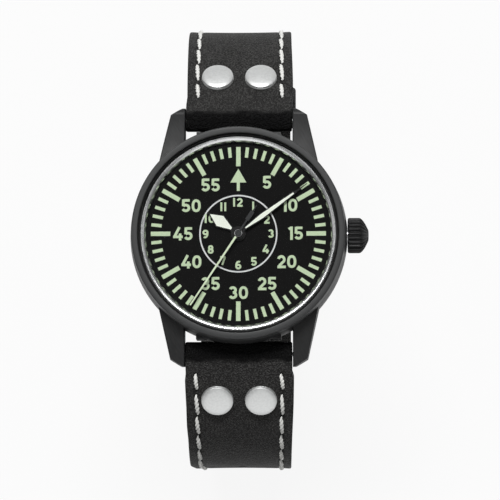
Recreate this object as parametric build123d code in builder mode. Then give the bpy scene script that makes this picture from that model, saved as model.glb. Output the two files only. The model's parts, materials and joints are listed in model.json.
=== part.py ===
from build123d import *
from math import acos, asin, atan2, cos, degrees, hypot, pi, radians, sin, sqrt
import os

# Pilot watch on a riveted leather strap, dial up, standing on its unbuckled strap.
# Origin: on the hands' axis, in the outer face of the case back.
# +X points to 3 o'clock and the crown, +Y to 12 o'clock, +Z out of the dial. Millimetres.

# Clearances
run = 0.04
seat_gap = 0.1
wheel_gap = 0.15
overrun = 1.0

# Case, built outwards from the movement: with these walls its radius comes to 20.0
movement_ring_width = 2.5
back_ledge = 1.05
case_wall = 3.45
case_low = 0.6
case_corner_width = 1.8
case_corner_height = 2.4
corner_bulge_share = 0.42
case_draft = 0.2
bezel_width = 1.5
bezel_height = 2.1
bezel_bevel = 0.2
bezel_draft = 0.15
bezel_lip = 0.45
bezel_seat_drop = 0.4
glass_seal_width = 0.35
glass_seal_drop = 0.6
glass_thickness = 1.4
glass_bevel = 0.2
glass_seat_height = 1.3
glass_ledge = 0.25
flange_width = 0.96
flange_land = 0.05
back_thickness = 1.0
back_skirt_height = 2.1
back_skirt_wall = 0.7
back_rim_width = 1.95
back_bevel = 0.35
key_slots = 6
key_slot_width = 2.4
key_slot_depth = 0.4
key_slot_length = 1.3
gasket_size = 0.45

# Lugs and spring bars
strap_width = 20.0
bar_overhang = 1.9
bar_height = 3.0
lug_root_width = 4.45
lug_root_sink = 0.3
lug_knee_width = 2.35
lug_knee_overhang = 0.5
lug_tip_width = 0.35
lug_tip_overhang = 2.1
lug_tip_top = 4.7
lug_low = 0.7
lug_tip_radius = 1.3
lug_bevel = 0.12
block_side_gap = 2.15
block_inset = 0.91
block_strap_gap = 0.4
block_low = 1.6
block_high = 6.2
bar_tube_radius = 0.9
bar_tube_wall = 0.25
bar_end_gap = 0.7
bar_tip_radius = 0.4
bar_tip_reach = 0.85
bar_shoulder_length = 1.4

# Crown
crown_radius = 3.3
crown_gap = 0.2
crown_grip = 2.1
crown_shoulder = 0.95
crown_length = 3.85
crown_shoulder_share = 0.76
crown_end_share = 0.28
crown_flutes = 24
flute_depth_share = 0.1
flute_angle_shares = (-0.5, -0.3, 0.3, 0.5)
crown_bevel = 0.3
crown_pocket_radius = 2.0
crown_pocket_depth = 1.6
tube_radius = 1.3
tube_bore = 0.72
tube_overhang = 1.2
crown_seal_width = 0.4

# Dial
dial_thickness = 0.4
dial_bore = 1.12
dial_foot_radius = 0.4
dial_foot_inset = 1.8
dial_foot_length = 1.0
dial_foot_angles = (62, 242)
mark_thickness = 0.06
mark_inset = 0.79
hours = 12
minutes = 60
hour_mark_length = 3.6
hour_mark_width = 0.82
minute_mark_length = 1.92
minute_mark_width = 0.6
arrow_tip_radius = 12.08
arrow_base_radius = 9.52
arrow_width = 2.96
arrow_stem_width = 0.56
arrow_stem_radius = 7.95

# Hands, at nine minutes past ten and about thirty-six seconds
hour_angle = 304.5
minute_angle = 54.0
seconds_angle = 213.5
hand_thickness = 0.15
hour_hand_rise = 0.3
minute_hand_rise = 0.65
seconds_hand_rise = 1.0
hour_hand_length = 6.95
hour_hand_half_width = 1.33
minute_hand_length = 15.7
minute_hand_half_width = 0.6
seconds_hand_length = 16.0
seconds_tail_half_width = 0.375
# Each place is a share of the hand's half width and a share of its length
hour_outline_shares = ((0.32, 0.16), (0.32, 0.22), (1, 0.59), (0.12, 0.93), (0.045, 1))
hour_filling_shares = ((0.15, 0.223), (0.83, 0.59), (0.045, 0.9))
minute_outline_shares = ((0.47, 0.06), (0.5, 0.09), (1, 0.344), (0.5, 0.81), (0.25, 0.85), (0.08, 1))
minute_filling_shares = ((0.2, 0.105), (0.7, 0.344), (0.27, 0.803))
seconds_outline_shares = (
    (0.16, -0.388), (0.32, -0.3), (1, -0.3), (1, -0.181), (0.35, -0.181), (0.53, 0.038), (0.37, 1)
)
seconds_filling_shares = ((0.51, 0.05), (0.37, 0.997))
filling_thickness = 0.05
hour_boss_radius = 1.35
minute_boss_radius = 1.05
seconds_boss_radius = 0.62
seconds_boss_height = 0.2

# Movement, in levels upwards from the case back
movement_wall = 0.6
rotor_gap = 0.35
rotor_web = 0.35
rotor_height = 1.0
rotor_inset = 0.6
rotor_rim_width = 2.6
winding_thickness = 0.3
bridge_thickness = 0.65
wheel_thickness = 0.2
barrel_height = 1.3
barrel_rim = 0.3
floor_thickness = 0.5
pocket_depth = 0.85
rotor_low = back_thickness + rotor_gap
rotor_high = rotor_low + rotor_height
winding_low = rotor_high + wheel_gap
winding_high = winding_low + winding_thickness
bridge_low = winding_high + wheel_gap
bridge_high = bridge_low + bridge_thickness
seconds_low = bridge_high + wheel_gap
third_low = seconds_low + wheel_thickness + wheel_gap
barrel_low = third_low + wheel_thickness + wheel_gap
centre_low = barrel_low + barrel_height + wheel_gap
floor_low = centre_low + wheel_thickness + wheel_gap
pocket_low = floor_low + floor_thickness
plate_high = pocket_low + pocket_depth
dial_top = plate_high + dial_thickness
case_high = dial_top + bezel_seat_drop
bezel_top = case_high + bezel_height
glass_low = dial_top + glass_seat_height
pinion_overlap = 0.05

# Going train
centre_teeth = 64
third_pinion_teeth = 8
third_teeth = 60
seconds_pinion_teeth = 8
seconds_teeth = 63
escape_pinion_teeth = 7
escape_teeth = 20
barrel_teeth = 72
centre_pinion_teeth = 10
third_distance = 4.5
escape_distance = 4.55
barrel_distance = 6.15
third_direction = 215
escape_direction = -55
barrel_direction = 80
arbor_radius = 0.16
pivot_radius = 0.08
pivot_length = 0.25
centre_tube_radius = 0.45
centre_tube_bore = 0.22
barrel_wall = 0.25
barrel_core_radius = 1.3
barrel_arbor_radius = 0.8
mainspring_turns = 5
mainspring_thickness = 0.16
spiral_steps = 16
wheel_windows = 5
window_shares = ((-0.36, 0.8), (0.36, 0.8), (0.24, 0.26), (-0.24, 0.26))

# Motion work, with real teeth that turn the hour hand once in twelve hours
cannon_teeth = 12
minute_wheel_teeth = 36
minute_pinion_teeth = 10
hour_teeth = 40
motion_distance = 3.6
motion_direction = 0
motion_wheel_rise = 0.12
minute_window_share = 0.66
cannon_pipe_radius = 0.7
hour_pipe_radius = 1.0
tooth_root_share = 1.2
tooth_tip_share = 0.9
tooth_angle_shares = (-0.27, -0.12, 0.12, 0.27)

# Escapement and balance
escape_radius = 2.0
escape_rim_share = 0.78
escape_tooth_shares = (0.0, 0.12, 0.3)
fork_direction = -70
fork_length = 2.1
fork_half_span = 31.5
fork_thickness = 0.15
fork_width = 0.3
fork_slot_width = 0.36
fork_slot_depth = 0.36
stone_width = 0.16
stone_length = 0.42
balance_radius = 3.2
balance_rim_width = 0.4
balance_height = 0.4
balance_arms = 3
balance_arm_width = 0.35
balance_hub_radius = 0.5
balance_rise = 0.3
balance_room = 0.2813
roller_radius = 0.75
impulse_reach = 0.5
impulse_radius = 0.12
pallet_bridge_thickness = 0.22
hairspring_turns = 6
hairspring_inner = 0.6
hairspring_outer = 1.95
hairspring_thickness = 0.05
hairspring_height = 0.12
stud_radius = 0.12
cock_foot_direction = -95
cock_radius = 1.1
jewel_radius = 0.55
jewel_thickness = 0.3

# Winding work
winding_teeth = 15
winding_start = 8.4
winding_width = 1.4
clutch_width = 1.7
clutch_slide = 0.6
clutch_radius = 0.95
clutch_groove_depth = 0.3
clutch_groove_width = 0.55
crown_wheel_teeth = 30
ratchet_teeth = 50
crown_wheel_centre = 6.4
contrate_width = 0.5
contrate_tooth_share = 0.29
stem_rise = 1.0
stem_radius = 0.6
stem_square = 0.8
stem_pilot_radius = 0.35
stem_inner_end = 3.6
stem_grip = 2.1
post_start = 4.4
post_width = 0.9
post_half_width = 0.9
fastening_post_radius = 1.0
fastening_post_inset = 1.4
fastening_post_angles = (30, 130, 200, 340)
screw_radius = 0.35
screw_head_radius = 0.62
screw_head_height = 0.25
screw_length = 1.4
screw_slot = 0.15

# Automatic winding
bearing_core_radius = 0.6
bearing_inner_radius = 1.0
ball_radius = 0.28
ball_count = 7
bearing_outer_wall = 0.4
rotor_gear_teeth = 24
rotor_gear_module = 0.2
reversing_teeth = 26
reversing_pinion_teeth = 9
reversing_thickness = 0.25
rotor_hub_wall = 0.5
rotor_arc = 180

# Strap, a short half at 12 o'clock and a long half at 6 o'clock
strap_taper = 1.4
bend_taper_share = 0.42
strap_eye_radius = 2.2
strap_start_angle = 14.0
strap_bend_radius = 26.2
strap_foot_radius = 24.0
strap_thickness = 3.3
strap_bend_thickness = 2.5
strap_tip_thickness = 2.2
short_drop = 6.0
long_flat = 5.0
long_curl_radius = 18.0
long_curl_turn = 58.0
tip_point_length = 6.0
tip_point_half = 3.5
short_end_eye_radius = 1.7
short_tail = 2.0
hole_pitch = 6.5
hole_count = 7
hole_radius = 1.0
hole_end = 26.0
tongue_slot_width = 4.0
tongue_slot_length = 5.5

# Rivets
rivet_radius = 3.0
rivet_height = 1.25
rivet_edge = 0.35
rivet_x = 4.05
rivet_distance_out = 8.5
rivet_seat = 0.25
rivet_shank_radius = 0.9
rivet_cap_radius = 1.8
rivet_cap_height = 0.35

# Keepers and buckle
keeper_length = 6.0
keeper_wall = 1.3
keeper_play = 0.45
keeper_room = 3.1
keeper_side_play = 0.45
keeper_corner = 0.6
fixed_keeper_angle = 80.0
free_keeper_angle = 52.0
buckle_side_play = 0.6
buckle_side_width = 2.1
buckle_length = 13.5
buckle_back = 2.0
buckle_inner_length = 8.0
buckle_thickness = 2.2
buckle_corner = 3.0
buckle_tilt = 14.0
buckle_bar_radius = 0.75
buckle_bar_overhang = 0.4
tongue_width = 2.2
tongue_thickness = 1.2
tongue_eye_radius = 1.45
tongue_notch = 0.35


def polar(radius, angle, at=(0, 0)):
    """The place at a radius and an angle, counted from 3 o'clock towards 12, round a centre."""
    return (at[0] + radius * cos(radians(angle)), at[1] + radius * sin(radians(angle)))


def span(one, other):
    """The distance between two places."""
    return hypot(other[0] - one[0], other[1] - one[1])


def bearing_of(one, other):
    """The direction from one place to another, in degrees."""
    return degrees(atan2(other[1] - one[1], other[0] - one[0]))


def turned(*outline, axis=Axis.Z, mode=Mode.ADD):
    """Turns an outline of radii and heights about the hands' axis."""
    with BuildSketch(Plane.XZ) as section:
        with BuildLine():
            Polyline(*outline, close=True)
        make_face()
    revolve(section.sketch, axis=axis, mode=mode)


def disc(at, radius, low, high, mode=Mode.ADD):
    """A round plate, boss or hole between two levels."""
    with BuildSketch(Plane.XY.offset(low)) as section:
        with Locations(at):
            Circle(radius)
    extrude(section.sketch, amount=high - low, mode=mode)


def ring(at, outer, inner, low, high, mode=Mode.ADD):
    """A round plate with a round hole, between two levels."""
    with BuildSketch(Plane.XY.offset(low)) as section:
        with Locations(at):
            Circle(outer)
            Circle(inner, mode=Mode.SUBTRACT)
    extrude(section.sketch, amount=high - low, mode=mode)


def rod(centre, radius, start, end, mode=Mode.ADD):
    """A round bar along X at a place given as y and z, from one x to another."""
    with BuildSketch(Plane.YZ.offset(start)) as section:
        with Locations(centre):
            Circle(radius)
    extrude(section.sketch, amount=end - start, mode=mode)


def mesh_phase(teeth, phase, other_teeth, direction):
    """The angle of a wheel's first tooth that sets its teeth in the gaps of the wheel driving it."""
    lead = (direction - phase) * teeth / 360
    return direction + 180 - (0.5 - lead) * 360 / other_teeth


def tooth_points(teeth, module, phase, at):
    """A wheel's outline: each tooth is a trapezium standing on the root circle."""
    root = module * (teeth / 2 - tooth_root_share)
    tip = module * (teeth / 2 + tooth_tip_share)
    places = []
    for tooth in range(teeth):
        for share, radius in zip(tooth_angle_shares, (root, tip, tip, root)):
            places.append(polar(radius, phase + (tooth + share) * 360 / teeth, at))
    return places


def toothed(teeth, module, phase, at, low, high, mode=Mode.ADD):
    """A toothed disc between two levels."""
    with BuildSketch(Plane.XY.offset(low)) as section:
        Polygon(*tooth_points(teeth, module, phase, at), align=None)
    extrude(section.sketch, amount=high - low, mode=mode)


def windows(at, radius, low, high):
    """Cuts the openings between a wheel's spokes."""
    with BuildSketch(Plane.XY.offset(low)) as section:
        for n in range(wheel_windows):
            places = []
            for side, reach in window_shares:
                places.append(polar(radius * reach, (n + side) * 360 / wheel_windows, at))
            Polygon(*places, align=None)
    extrude(section.sketch, amount=high - low, mode=Mode.SUBTRACT)


def arbor(at, low, high):
    """A wheel's arbor, with a thin pivot at each end."""
    disc(at, arbor_radius, low, high)
    disc(at, pivot_radius, low - pivot_length, high + pivot_length)


def spiral_points(turns, inner, outer, thickness, at):
    """A flat spiral ribbon's outline: out along its outer side, back along its inner side."""
    steps = turns * spiral_steps
    there, back = [], []
    for n in range(steps + 1):
        radius = inner + (outer - inner) * n / steps
        there.append(polar(radius + thickness / 2, n * 360 / spiral_steps, at))
        back.append(polar(radius - thickness / 2, n * 360 / spiral_steps, at))
    return there + back[::-1]


def hand_plane(angle, height):
    """A plane at a height whose Y points along a hand, with the angle counted clockwise from 12."""
    return Plane(
        origin=(0, 0, height),
        x_dir=(cos(radians(angle)), -sin(radians(angle)), 0),
        z_dir=(0, 0, 1),
    )


def blade(shares, half_width, length):
    """A hand's outline: its right side from shares of its half width and length, then its left."""
    right = [(half_width * across, length * along) for across, along in shares]
    return right + [(-x, y) for x, y in reversed(right)]


def save(part, name):
    """Names a finished piece and writes its file."""
    part.label = name
    export_step(part, f"parts/{name}.step")


os.makedirs("parts", exist_ok=True)
hub = (0, 0)
third_at = polar(third_distance, third_direction)
escape_at = polar(escape_distance, escape_direction)
barrel_at = polar(barrel_distance, barrel_direction)
motion_at = polar(motion_distance, motion_direction)
crown_wheel_at = (crown_wheel_centre, 0)
centre_module = 2 * third_distance / (centre_teeth + third_pinion_teeth)
third_module = 2 * third_distance / (third_teeth + seconds_pinion_teeth)
seconds_module = 2 * escape_distance / (seconds_teeth + escape_pinion_teeth)
barrel_module = 2 * barrel_distance / (barrel_teeth + centre_pinion_teeth)
cannon_module = 2 * motion_distance / (cannon_teeth + minute_wheel_teeth)
hour_module = 2 * motion_distance / (minute_pinion_teeth + hour_teeth)
ratchet_module = 2 * span(barrel_at, crown_wheel_at) / (ratchet_teeth + crown_wheel_teeth)
fork_at = polar(escape_radius / cos(radians(fork_half_span)), fork_direction, escape_at)
balance_at = polar(fork_length, fork_direction, fork_at)
movement_radius = span(hub, balance_at) + balance_radius + balance_room + movement_wall
cavity_radius = movement_radius + movement_ring_width
back_radius = cavity_radius + back_ledge
back_bore = back_radius + run
case_radius = back_radius + case_wall
case_top_radius = case_radius - case_draft
bezel_top_radius = case_top_radius - bezel_draft
bezel_inner_radius = case_radius - bezel_width
collar_radius = bezel_inner_radius + bezel_lip
glass_radius = bezel_inner_radius - glass_seal_width
flange_high_radius = glass_radius - glass_ledge
flange_low_radius = flange_high_radius - flange_width
dial_radius = flange_high_radius - seat_gap
mark_outer_radius = flange_low_radius - mark_inset
bar_reach = case_radius + bar_overhang
lug_root_x = strap_width / 2 + lug_root_width
lug_root_reach = sqrt(case_radius**2 - lug_root_x**2) - lug_root_sink
lug_root_top = plate_high
block_reach = bar_reach - strap_eye_radius - block_strap_gap
block_start = back_bore + block_inset
bar_tube_length = strap_width - 2 * bar_end_gap
strap_end_width = strap_width - strap_taper
rotor_radius = movement_radius - rotor_inset
fastening_post_reach = movement_radius - fastening_post_inset
cock_foot_at = polar(fastening_post_reach, cock_foot_direction)
stem_height = bridge_high + stem_rise
crown_start = case_radius + crown_gap
stem_outer_end = crown_start + stem_grip
balance_low = bridge_high + balance_rise
balance_high = balance_low + balance_height
pallet_bridge_low = balance_high + wheel_gap
fork_low = pallet_bridge_low + pallet_bridge_thickness + wheel_gap
fork_high = fork_low + fork_thickness
bearing_bore = bearing_inner_radius + 2 * ball_radius + run
bearing_radius = bearing_bore + bearing_outer_wall
rotor_gear_low = rotor_high - reversing_thickness
reversing_distance = rotor_gear_module * (rotor_gear_teeth + reversing_teeth) / 2
reversing_pinion_distance = ratchet_module * (ratchet_teeth + reversing_pinion_teeth) / 2
reversing_opening = degrees(
    acos(
        (reversing_distance**2 + barrel_distance**2 - reversing_pinion_distance**2)
        / (2 * reversing_distance * barrel_distance)
    )
)
reversing_at = polar(reversing_distance, barrel_direction + reversing_opening)


# Mid case: a turned body, drawn in a little towards the bezel, and four lugs with oblique ends
case_bottom_radius = case_radius - case_corner_width
lug_knee = (strap_width / 2 + lug_knee_width, bar_reach + lug_knee_overhang)
lug_tip_reach = bar_reach + lug_tip_overhang
with BuildPart() as lugs:
    with BuildSketch(Plane.XY):
        with BuildLine():
            Polyline(
                (strap_width / 2, lug_root_reach),
                (lug_root_x, lug_root_reach),
                lug_knee,
                (strap_width / 2 + lug_tip_width, lug_tip_reach),
                (strap_width / 2, lug_tip_reach),
                close=True,
            )
        make_face()
        mirror(about=Plane.YZ)
        mirror(about=Plane.XZ)
    extrude(amount=case_high)
    with BuildSketch(Plane.YZ):
        with BuildLine():
            top = ThreePointArc(
                (lug_root_reach, lug_root_top),
                ((lug_root_reach + bar_reach) / 2, (lug_root_top + lug_tip_top) / 2 + lug_tip_radius / 2),
                (lug_tip_reach - lug_tip_radius, lug_tip_top),
            )
            Polyline(
                top @ 1,
                (lug_tip_reach, lug_tip_top - lug_tip_radius),
                (lug_tip_reach, lug_low + lug_tip_radius),
                (lug_tip_reach - lug_tip_radius, lug_low),
                (lug_root_reach, lug_low + bar_tube_radius),
                top @ 0,
            )
        make_face()
        mirror(about=Plane.YZ)
    extrude(amount=case_radius, both=True, mode=Mode.INTERSECT)
    tip_edges = lugs.edges().filter_by(Axis.Z).group_by(Axis.Y)
    fillet(tip_edges[0] + tip_edges[-1], lug_bevel)
with BuildPart() as mid_case:
    with BuildSketch(Plane.XZ):
        with BuildLine():
            corner = ThreePointArc(
                (case_bottom_radius, case_low),
                (
                    case_radius - case_corner_width * corner_bulge_share,
                    case_low + case_corner_height * corner_bulge_share,
                ),
                (case_radius, case_low + case_corner_height),
            )
            Polyline(
                corner @ 1,
                (case_top_radius, case_high),
                (collar_radius, case_high),
                (collar_radius, glass_low),
                (flange_high_radius + run, glass_low),
                (flange_high_radius + run, plate_high),
                (cavity_radius, plate_high),
                (cavity_radius, back_skirt_height + gasket_size),
                (back_bore, back_skirt_height + gasket_size),
                (back_bore, case_low),
                corner @ 0,
            )
        make_face()
    revolve(axis=Axis.Z)
    add(lugs.part)
    for side in (1, -1):
        with BuildSketch(Plane.XY.offset(block_low)):
            with Locations((0, side * (block_reach + block_start) / 2)):
                Rectangle(strap_width - 2 * block_side_gap, block_reach - block_start)
        extrude(amount=block_high - block_low)
        with BuildSketch(Plane.XY):
            with Locations((0, side * (block_reach + overrun))):
                Rectangle(strap_width, 2 * overrun)
        extrude(amount=block_high, mode=Mode.SUBTRACT)
        rod((side * bar_reach, bar_height), bar_tip_radius + run, -lug_root_x, lug_root_x, Mode.SUBTRACT)
    rod((0, stem_height), tube_radius, cavity_radius - overrun, case_radius + overrun, Mode.SUBTRACT)
save(mid_case.part, "mid_case")

with BuildPart() as bezel:
    bezel_bore = collar_radius + run
    turned(
        (case_top_radius, case_high),
        (bezel_top_radius, bezel_top - bezel_bevel),
        (bezel_top_radius - bezel_bevel, bezel_top),
        (bezel_inner_radius + bezel_bevel, bezel_top),
        (bezel_inner_radius, bezel_top - bezel_bevel),
        (bezel_inner_radius, glass_low),
        (bezel_bore, glass_low),
        (bezel_bore, case_high),
    )
save(bezel.part, "bezel")

# Crystal: a flat disc of sapphire with a polished bevel
with BuildPart() as crystal:
    glass_top = glass_low + glass_thickness
    turned(
        (0, glass_low),
        (glass_radius, glass_low),
        (glass_radius, glass_top - glass_bevel),
        (glass_radius - glass_bevel, glass_top),
        (0, glass_top),
    )
save(crystal.part, "crystal")

with BuildPart() as crystal_gasket:
    ring(hub, bezel_inner_radius, glass_radius, glass_low, bezel_top - glass_seal_drop)
save(crystal_gasket.part, "crystal_gasket")

# Flange: the polished sloping ring between the dial and the glass
with BuildPart() as flange_ring:
    turned(
        (flange_low_radius, dial_top),
        (flange_high_radius, dial_top),
        (flange_high_radius, glass_low),
        (flange_high_radius - flange_land, glass_low),
        (flange_low_radius, dial_top + flange_land),
    )
save(flange_ring.part, "flange_ring")

# Case back: a screwed disc with a skirt, a raised flat centre and slots for its key
with BuildPart() as case_back:
    skirt_radius = back_radius - back_skirt_wall
    back_flat_radius = back_radius - back_rim_width
    turned(
        (0, 0),
        (back_flat_radius, 0),
        (back_flat_radius + back_bevel, back_bevel),
        (back_radius - back_bevel, back_bevel),
        (back_radius, 2 * back_bevel),
        (back_radius, back_skirt_height),
        (skirt_radius, back_skirt_height),
        (skirt_radius, back_thickness),
        (0, back_thickness),
    )
    with BuildSketch(Plane.XY):
        with PolarLocations(back_radius - key_slot_length / 2, key_slots):
            Rectangle(key_slot_length + back_bevel, key_slot_width)
    extrude(amount=back_bevel + key_slot_depth, mode=Mode.SUBTRACT)
save(case_back.part, "case_back")

with BuildPart() as movement_ring:
    ring_low = back_skirt_height + gasket_size
    ring(hub, cavity_radius - run, movement_radius + run, ring_low, plate_high)
    rod((0, stem_height), tube_bore, movement_radius - overrun, cavity_radius + overrun, Mode.SUBTRACT)
save(movement_ring.part, "movement_ring")

# Crown: a grip of flutes that run on over the rounded end and draw together there
def flute_points(scale):
    """The crown's fluted outline at a share of its full radius."""
    places = []
    valley = 1 - flute_depth_share
    for n in range(crown_flutes):
        for share, reach in zip(flute_angle_shares[:-1], (valley, 1, 1)):
            places.append(polar(crown_radius * scale * reach, (n + share) * 360 / crown_flutes))
    return places


crown_end = crown_start + crown_length
with BuildPart() as crown:
    levels = (
        (crown_start, 1 - crown_bevel / crown_radius),
        (crown_start + crown_bevel, 1),
        (crown_start + crown_grip, 1),
        (crown_start + crown_grip + crown_shoulder, crown_shoulder_share),
        (crown_end, crown_end_share),
    )
    for x, scale in levels:
        with BuildSketch(Plane(origin=(x, 0, stem_height), x_dir=(0, 1, 0), z_dir=(1, 0, 0))):
            Polygon(*flute_points(scale), align=None)
    loft(ruled=True)
    pocket_end = crown_start + crown_pocket_depth
    rod((0, stem_height), crown_pocket_radius, crown_start - overrun, pocket_end, Mode.SUBTRACT)
    rod((0, stem_height), stem_radius, crown_start, stem_outer_end, Mode.SUBTRACT)
save(crown.part, "crown")

with BuildPart() as crown_tube:
    tube_start = cavity_radius + seat_gap
    tube_end = case_radius + tube_overhang
    rod((0, stem_height), tube_radius, tube_start, tube_end)
    rod((0, stem_height), tube_bore, tube_start - overrun, tube_end + overrun, Mode.SUBTRACT)
save(crown_tube.part, "crown_tube")

# Gaskets: one between the case back and the case, and one round the crown tube
with BuildPart() as gaskets:
    ring(hub, back_radius, skirt_radius, back_skirt_height, back_skirt_height + gasket_size)
    seal_start = crown_start + seat_gap
    with BuildSketch(Plane.YZ.offset(seal_start)):
        with Locations((0, stem_height)):
            Circle(crown_pocket_radius - run)
            Circle(tube_radius, mode=Mode.SUBTRACT)
    extrude(amount=crown_seal_width)
save(gaskets.part, "gaskets")

# Dial: a brass disc with two feet, and the luminous bars and arrow on it
dial_foot_reach = movement_radius - dial_foot_inset
with BuildPart() as dial:
    disc(hub, dial_radius, plate_high, dial_top)
    for angle in dial_foot_angles:
        disc(polar(dial_foot_reach, angle), dial_foot_radius, plate_high - dial_foot_length, plate_high)
    disc(hub, dial_bore, plate_high - overrun, dial_top + overrun, Mode.SUBTRACT)
save(dial.part, "dial")

with BuildPart() as dial_markers:
    with BuildSketch(Plane.XY.offset(dial_top)):
        with PolarLocations(mark_outer_radius - hour_mark_length / 2, hours):
            Rectangle(hour_mark_length, hour_mark_width)
        minute_reach = mark_outer_radius - minute_mark_length / 2
        for minute in range(minutes):
            if minute * hours % minutes:
                with PolarLocations(minute_reach, 1, start_angle=minute * 360 / minutes):
                    Rectangle(minute_mark_length, minute_mark_width)
        Polygon(
            (0, arrow_tip_radius),
            (-arrow_width / 2, arrow_base_radius),
            (-arrow_stem_width / 2, arrow_base_radius),
            (-arrow_stem_width / 2, arrow_stem_radius),
            (arrow_stem_width / 2, arrow_stem_radius),
            (arrow_stem_width / 2, arrow_base_radius),
            (arrow_width / 2, arrow_base_radius),
            align=None,
        )
    extrude(amount=mark_thickness)
save(dial_markers.part, "dial_markers")

# Hands: each is a thin blade on a boss, with its luminous filling as a separate piece
hour_hand_low = dial_top + hour_hand_rise
minute_hand_low = dial_top + minute_hand_rise
seconds_hand_low = dial_top + seconds_hand_rise
with BuildPart() as hour_hand:
    hour_filling = blade(hour_filling_shares, hour_hand_half_width, hour_hand_length)
    with BuildSketch(hand_plane(hour_angle, hour_hand_low)):
        Polygon(*blade(hour_outline_shares, hour_hand_half_width, hour_hand_length), align=None)
        Circle(hour_boss_radius)
        Polygon(*hour_filling, align=None, mode=Mode.SUBTRACT)
    extrude(amount=hand_thickness)
    disc(hub, hour_pipe_radius, hour_hand_low - overrun, minute_hand_low, Mode.SUBTRACT)
save(hour_hand.part, "hour_hand")

with BuildPart() as hour_hand_lume:
    with BuildSketch(hand_plane(hour_angle, hour_hand_low)):
        Polygon(*hour_filling, align=None)
    extrude(amount=hand_thickness)
save(hour_hand_lume.part, "hour_hand_lume")

with BuildPart() as minute_hand:
    minute_filling = blade(minute_filling_shares, minute_hand_half_width, minute_hand_length)
    with BuildSketch(hand_plane(minute_angle, minute_hand_low)):
        Polygon(*blade(minute_outline_shares, minute_hand_half_width, minute_hand_length), align=None)
        Circle(minute_boss_radius)
        Polygon(*minute_filling, align=None, mode=Mode.SUBTRACT)
    extrude(amount=hand_thickness)
    disc(hub, cannon_pipe_radius, hour_hand_low, seconds_hand_low, Mode.SUBTRACT)
save(minute_hand.part, "minute_hand")

with BuildPart() as minute_hand_lume:
    with BuildSketch(hand_plane(minute_angle, minute_hand_low)):
        Polygon(*minute_filling, align=None)
    extrude(amount=hand_thickness)
save(minute_hand_lume.part, "minute_hand_lume")

with BuildPart() as seconds_hand:
    with BuildSketch(hand_plane(seconds_angle, seconds_hand_low)):
        Polygon(*blade(seconds_outline_shares, seconds_tail_half_width, seconds_hand_length), align=None)
    extrude(amount=hand_thickness - filling_thickness)
    disc(hub, seconds_boss_radius, seconds_hand_low, seconds_hand_low + seconds_boss_height)
    disc(hub, arbor_radius, minute_hand_low, seconds_hand_low + hand_thickness, Mode.SUBTRACT)
save(seconds_hand.part, "seconds_hand")

with BuildPart() as seconds_hand_lume:
    with BuildSketch(hand_plane(seconds_angle, seconds_hand_low + hand_thickness - filling_thickness)):
        Polygon(*blade(seconds_filling_shares, seconds_tail_half_width, seconds_hand_length), align=None)
    extrude(amount=filling_thickness)
save(seconds_hand_lume.part, "seconds_hand_lume")

# Main plate: a shallow cup, open towards the back, with a pocket for the motion work
jewel_places = {
    "bridge": (third_at, escape_at, hub),
    "floor": (third_at, escape_at, fork_at, balance_at),
}
motion_room = cannon_module * (minute_wheel_teeth / 2 + 1) + wheel_gap
hour_room = hour_module * (hour_teeth / 2 + 1) + wheel_gap
with BuildPart() as main_plate:
    disc(hub, movement_radius, bridge_high, plate_high)
    disc(hub, movement_radius - movement_wall, bridge_high, floor_low, Mode.SUBTRACT)
    for angle in fastening_post_angles:
        disc(polar(fastening_post_reach, angle), fastening_post_radius, bridge_high, floor_low)
    disc(cock_foot_at, fastening_post_radius, bridge_high, floor_low)
    with BuildSketch(Plane.XY.offset(stem_height - post_half_width)):
        with Locations((post_start + post_width / 2, 0)):
            Rectangle(post_width, 2 * post_half_width)
    extrude(amount=floor_low - stem_height + post_half_width)
    disc(hub, hour_room, pocket_low, plate_high, Mode.SUBTRACT)
    disc(motion_at, motion_room, pocket_low, plate_high, Mode.SUBTRACT)
    disc(motion_at, arbor_radius, pocket_low, plate_high - seat_gap)
    disc(hub, centre_tube_radius + run, floor_low, pocket_low, Mode.SUBTRACT)
    disc(barrel_at, barrel_arbor_radius / 2 + run, floor_low, pocket_low, Mode.SUBTRACT)
    for place in jewel_places["floor"]:
        disc(place, jewel_radius, floor_low, floor_low + jewel_thickness, Mode.SUBTRACT)
    foot_low = plate_high - dial_foot_length - seat_gap
    for angle in dial_foot_angles:
        disc(polar(dial_foot_reach, angle), dial_foot_radius + run, foot_low, plate_high, Mode.SUBTRACT)
    post_end = post_start + post_width
    rod((0, stem_height), stem_pilot_radius + run, post_start - overrun, post_end + overrun, Mode.SUBTRACT)
    wall_start = movement_radius - movement_wall
    rod((0, stem_height), stem_radius + run, wall_start - overrun, movement_radius + overrun, Mode.SUBTRACT)
    screw_end = bridge_low + screw_length
    for angle in fastening_post_angles:
        disc(polar(fastening_post_reach, angle), screw_radius, bridge_high, screw_end, Mode.SUBTRACT)
    disc(cock_foot_at, screw_radius, bridge_high, screw_end, Mode.SUBTRACT)
save(main_plate.part, "main_plate")

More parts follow.
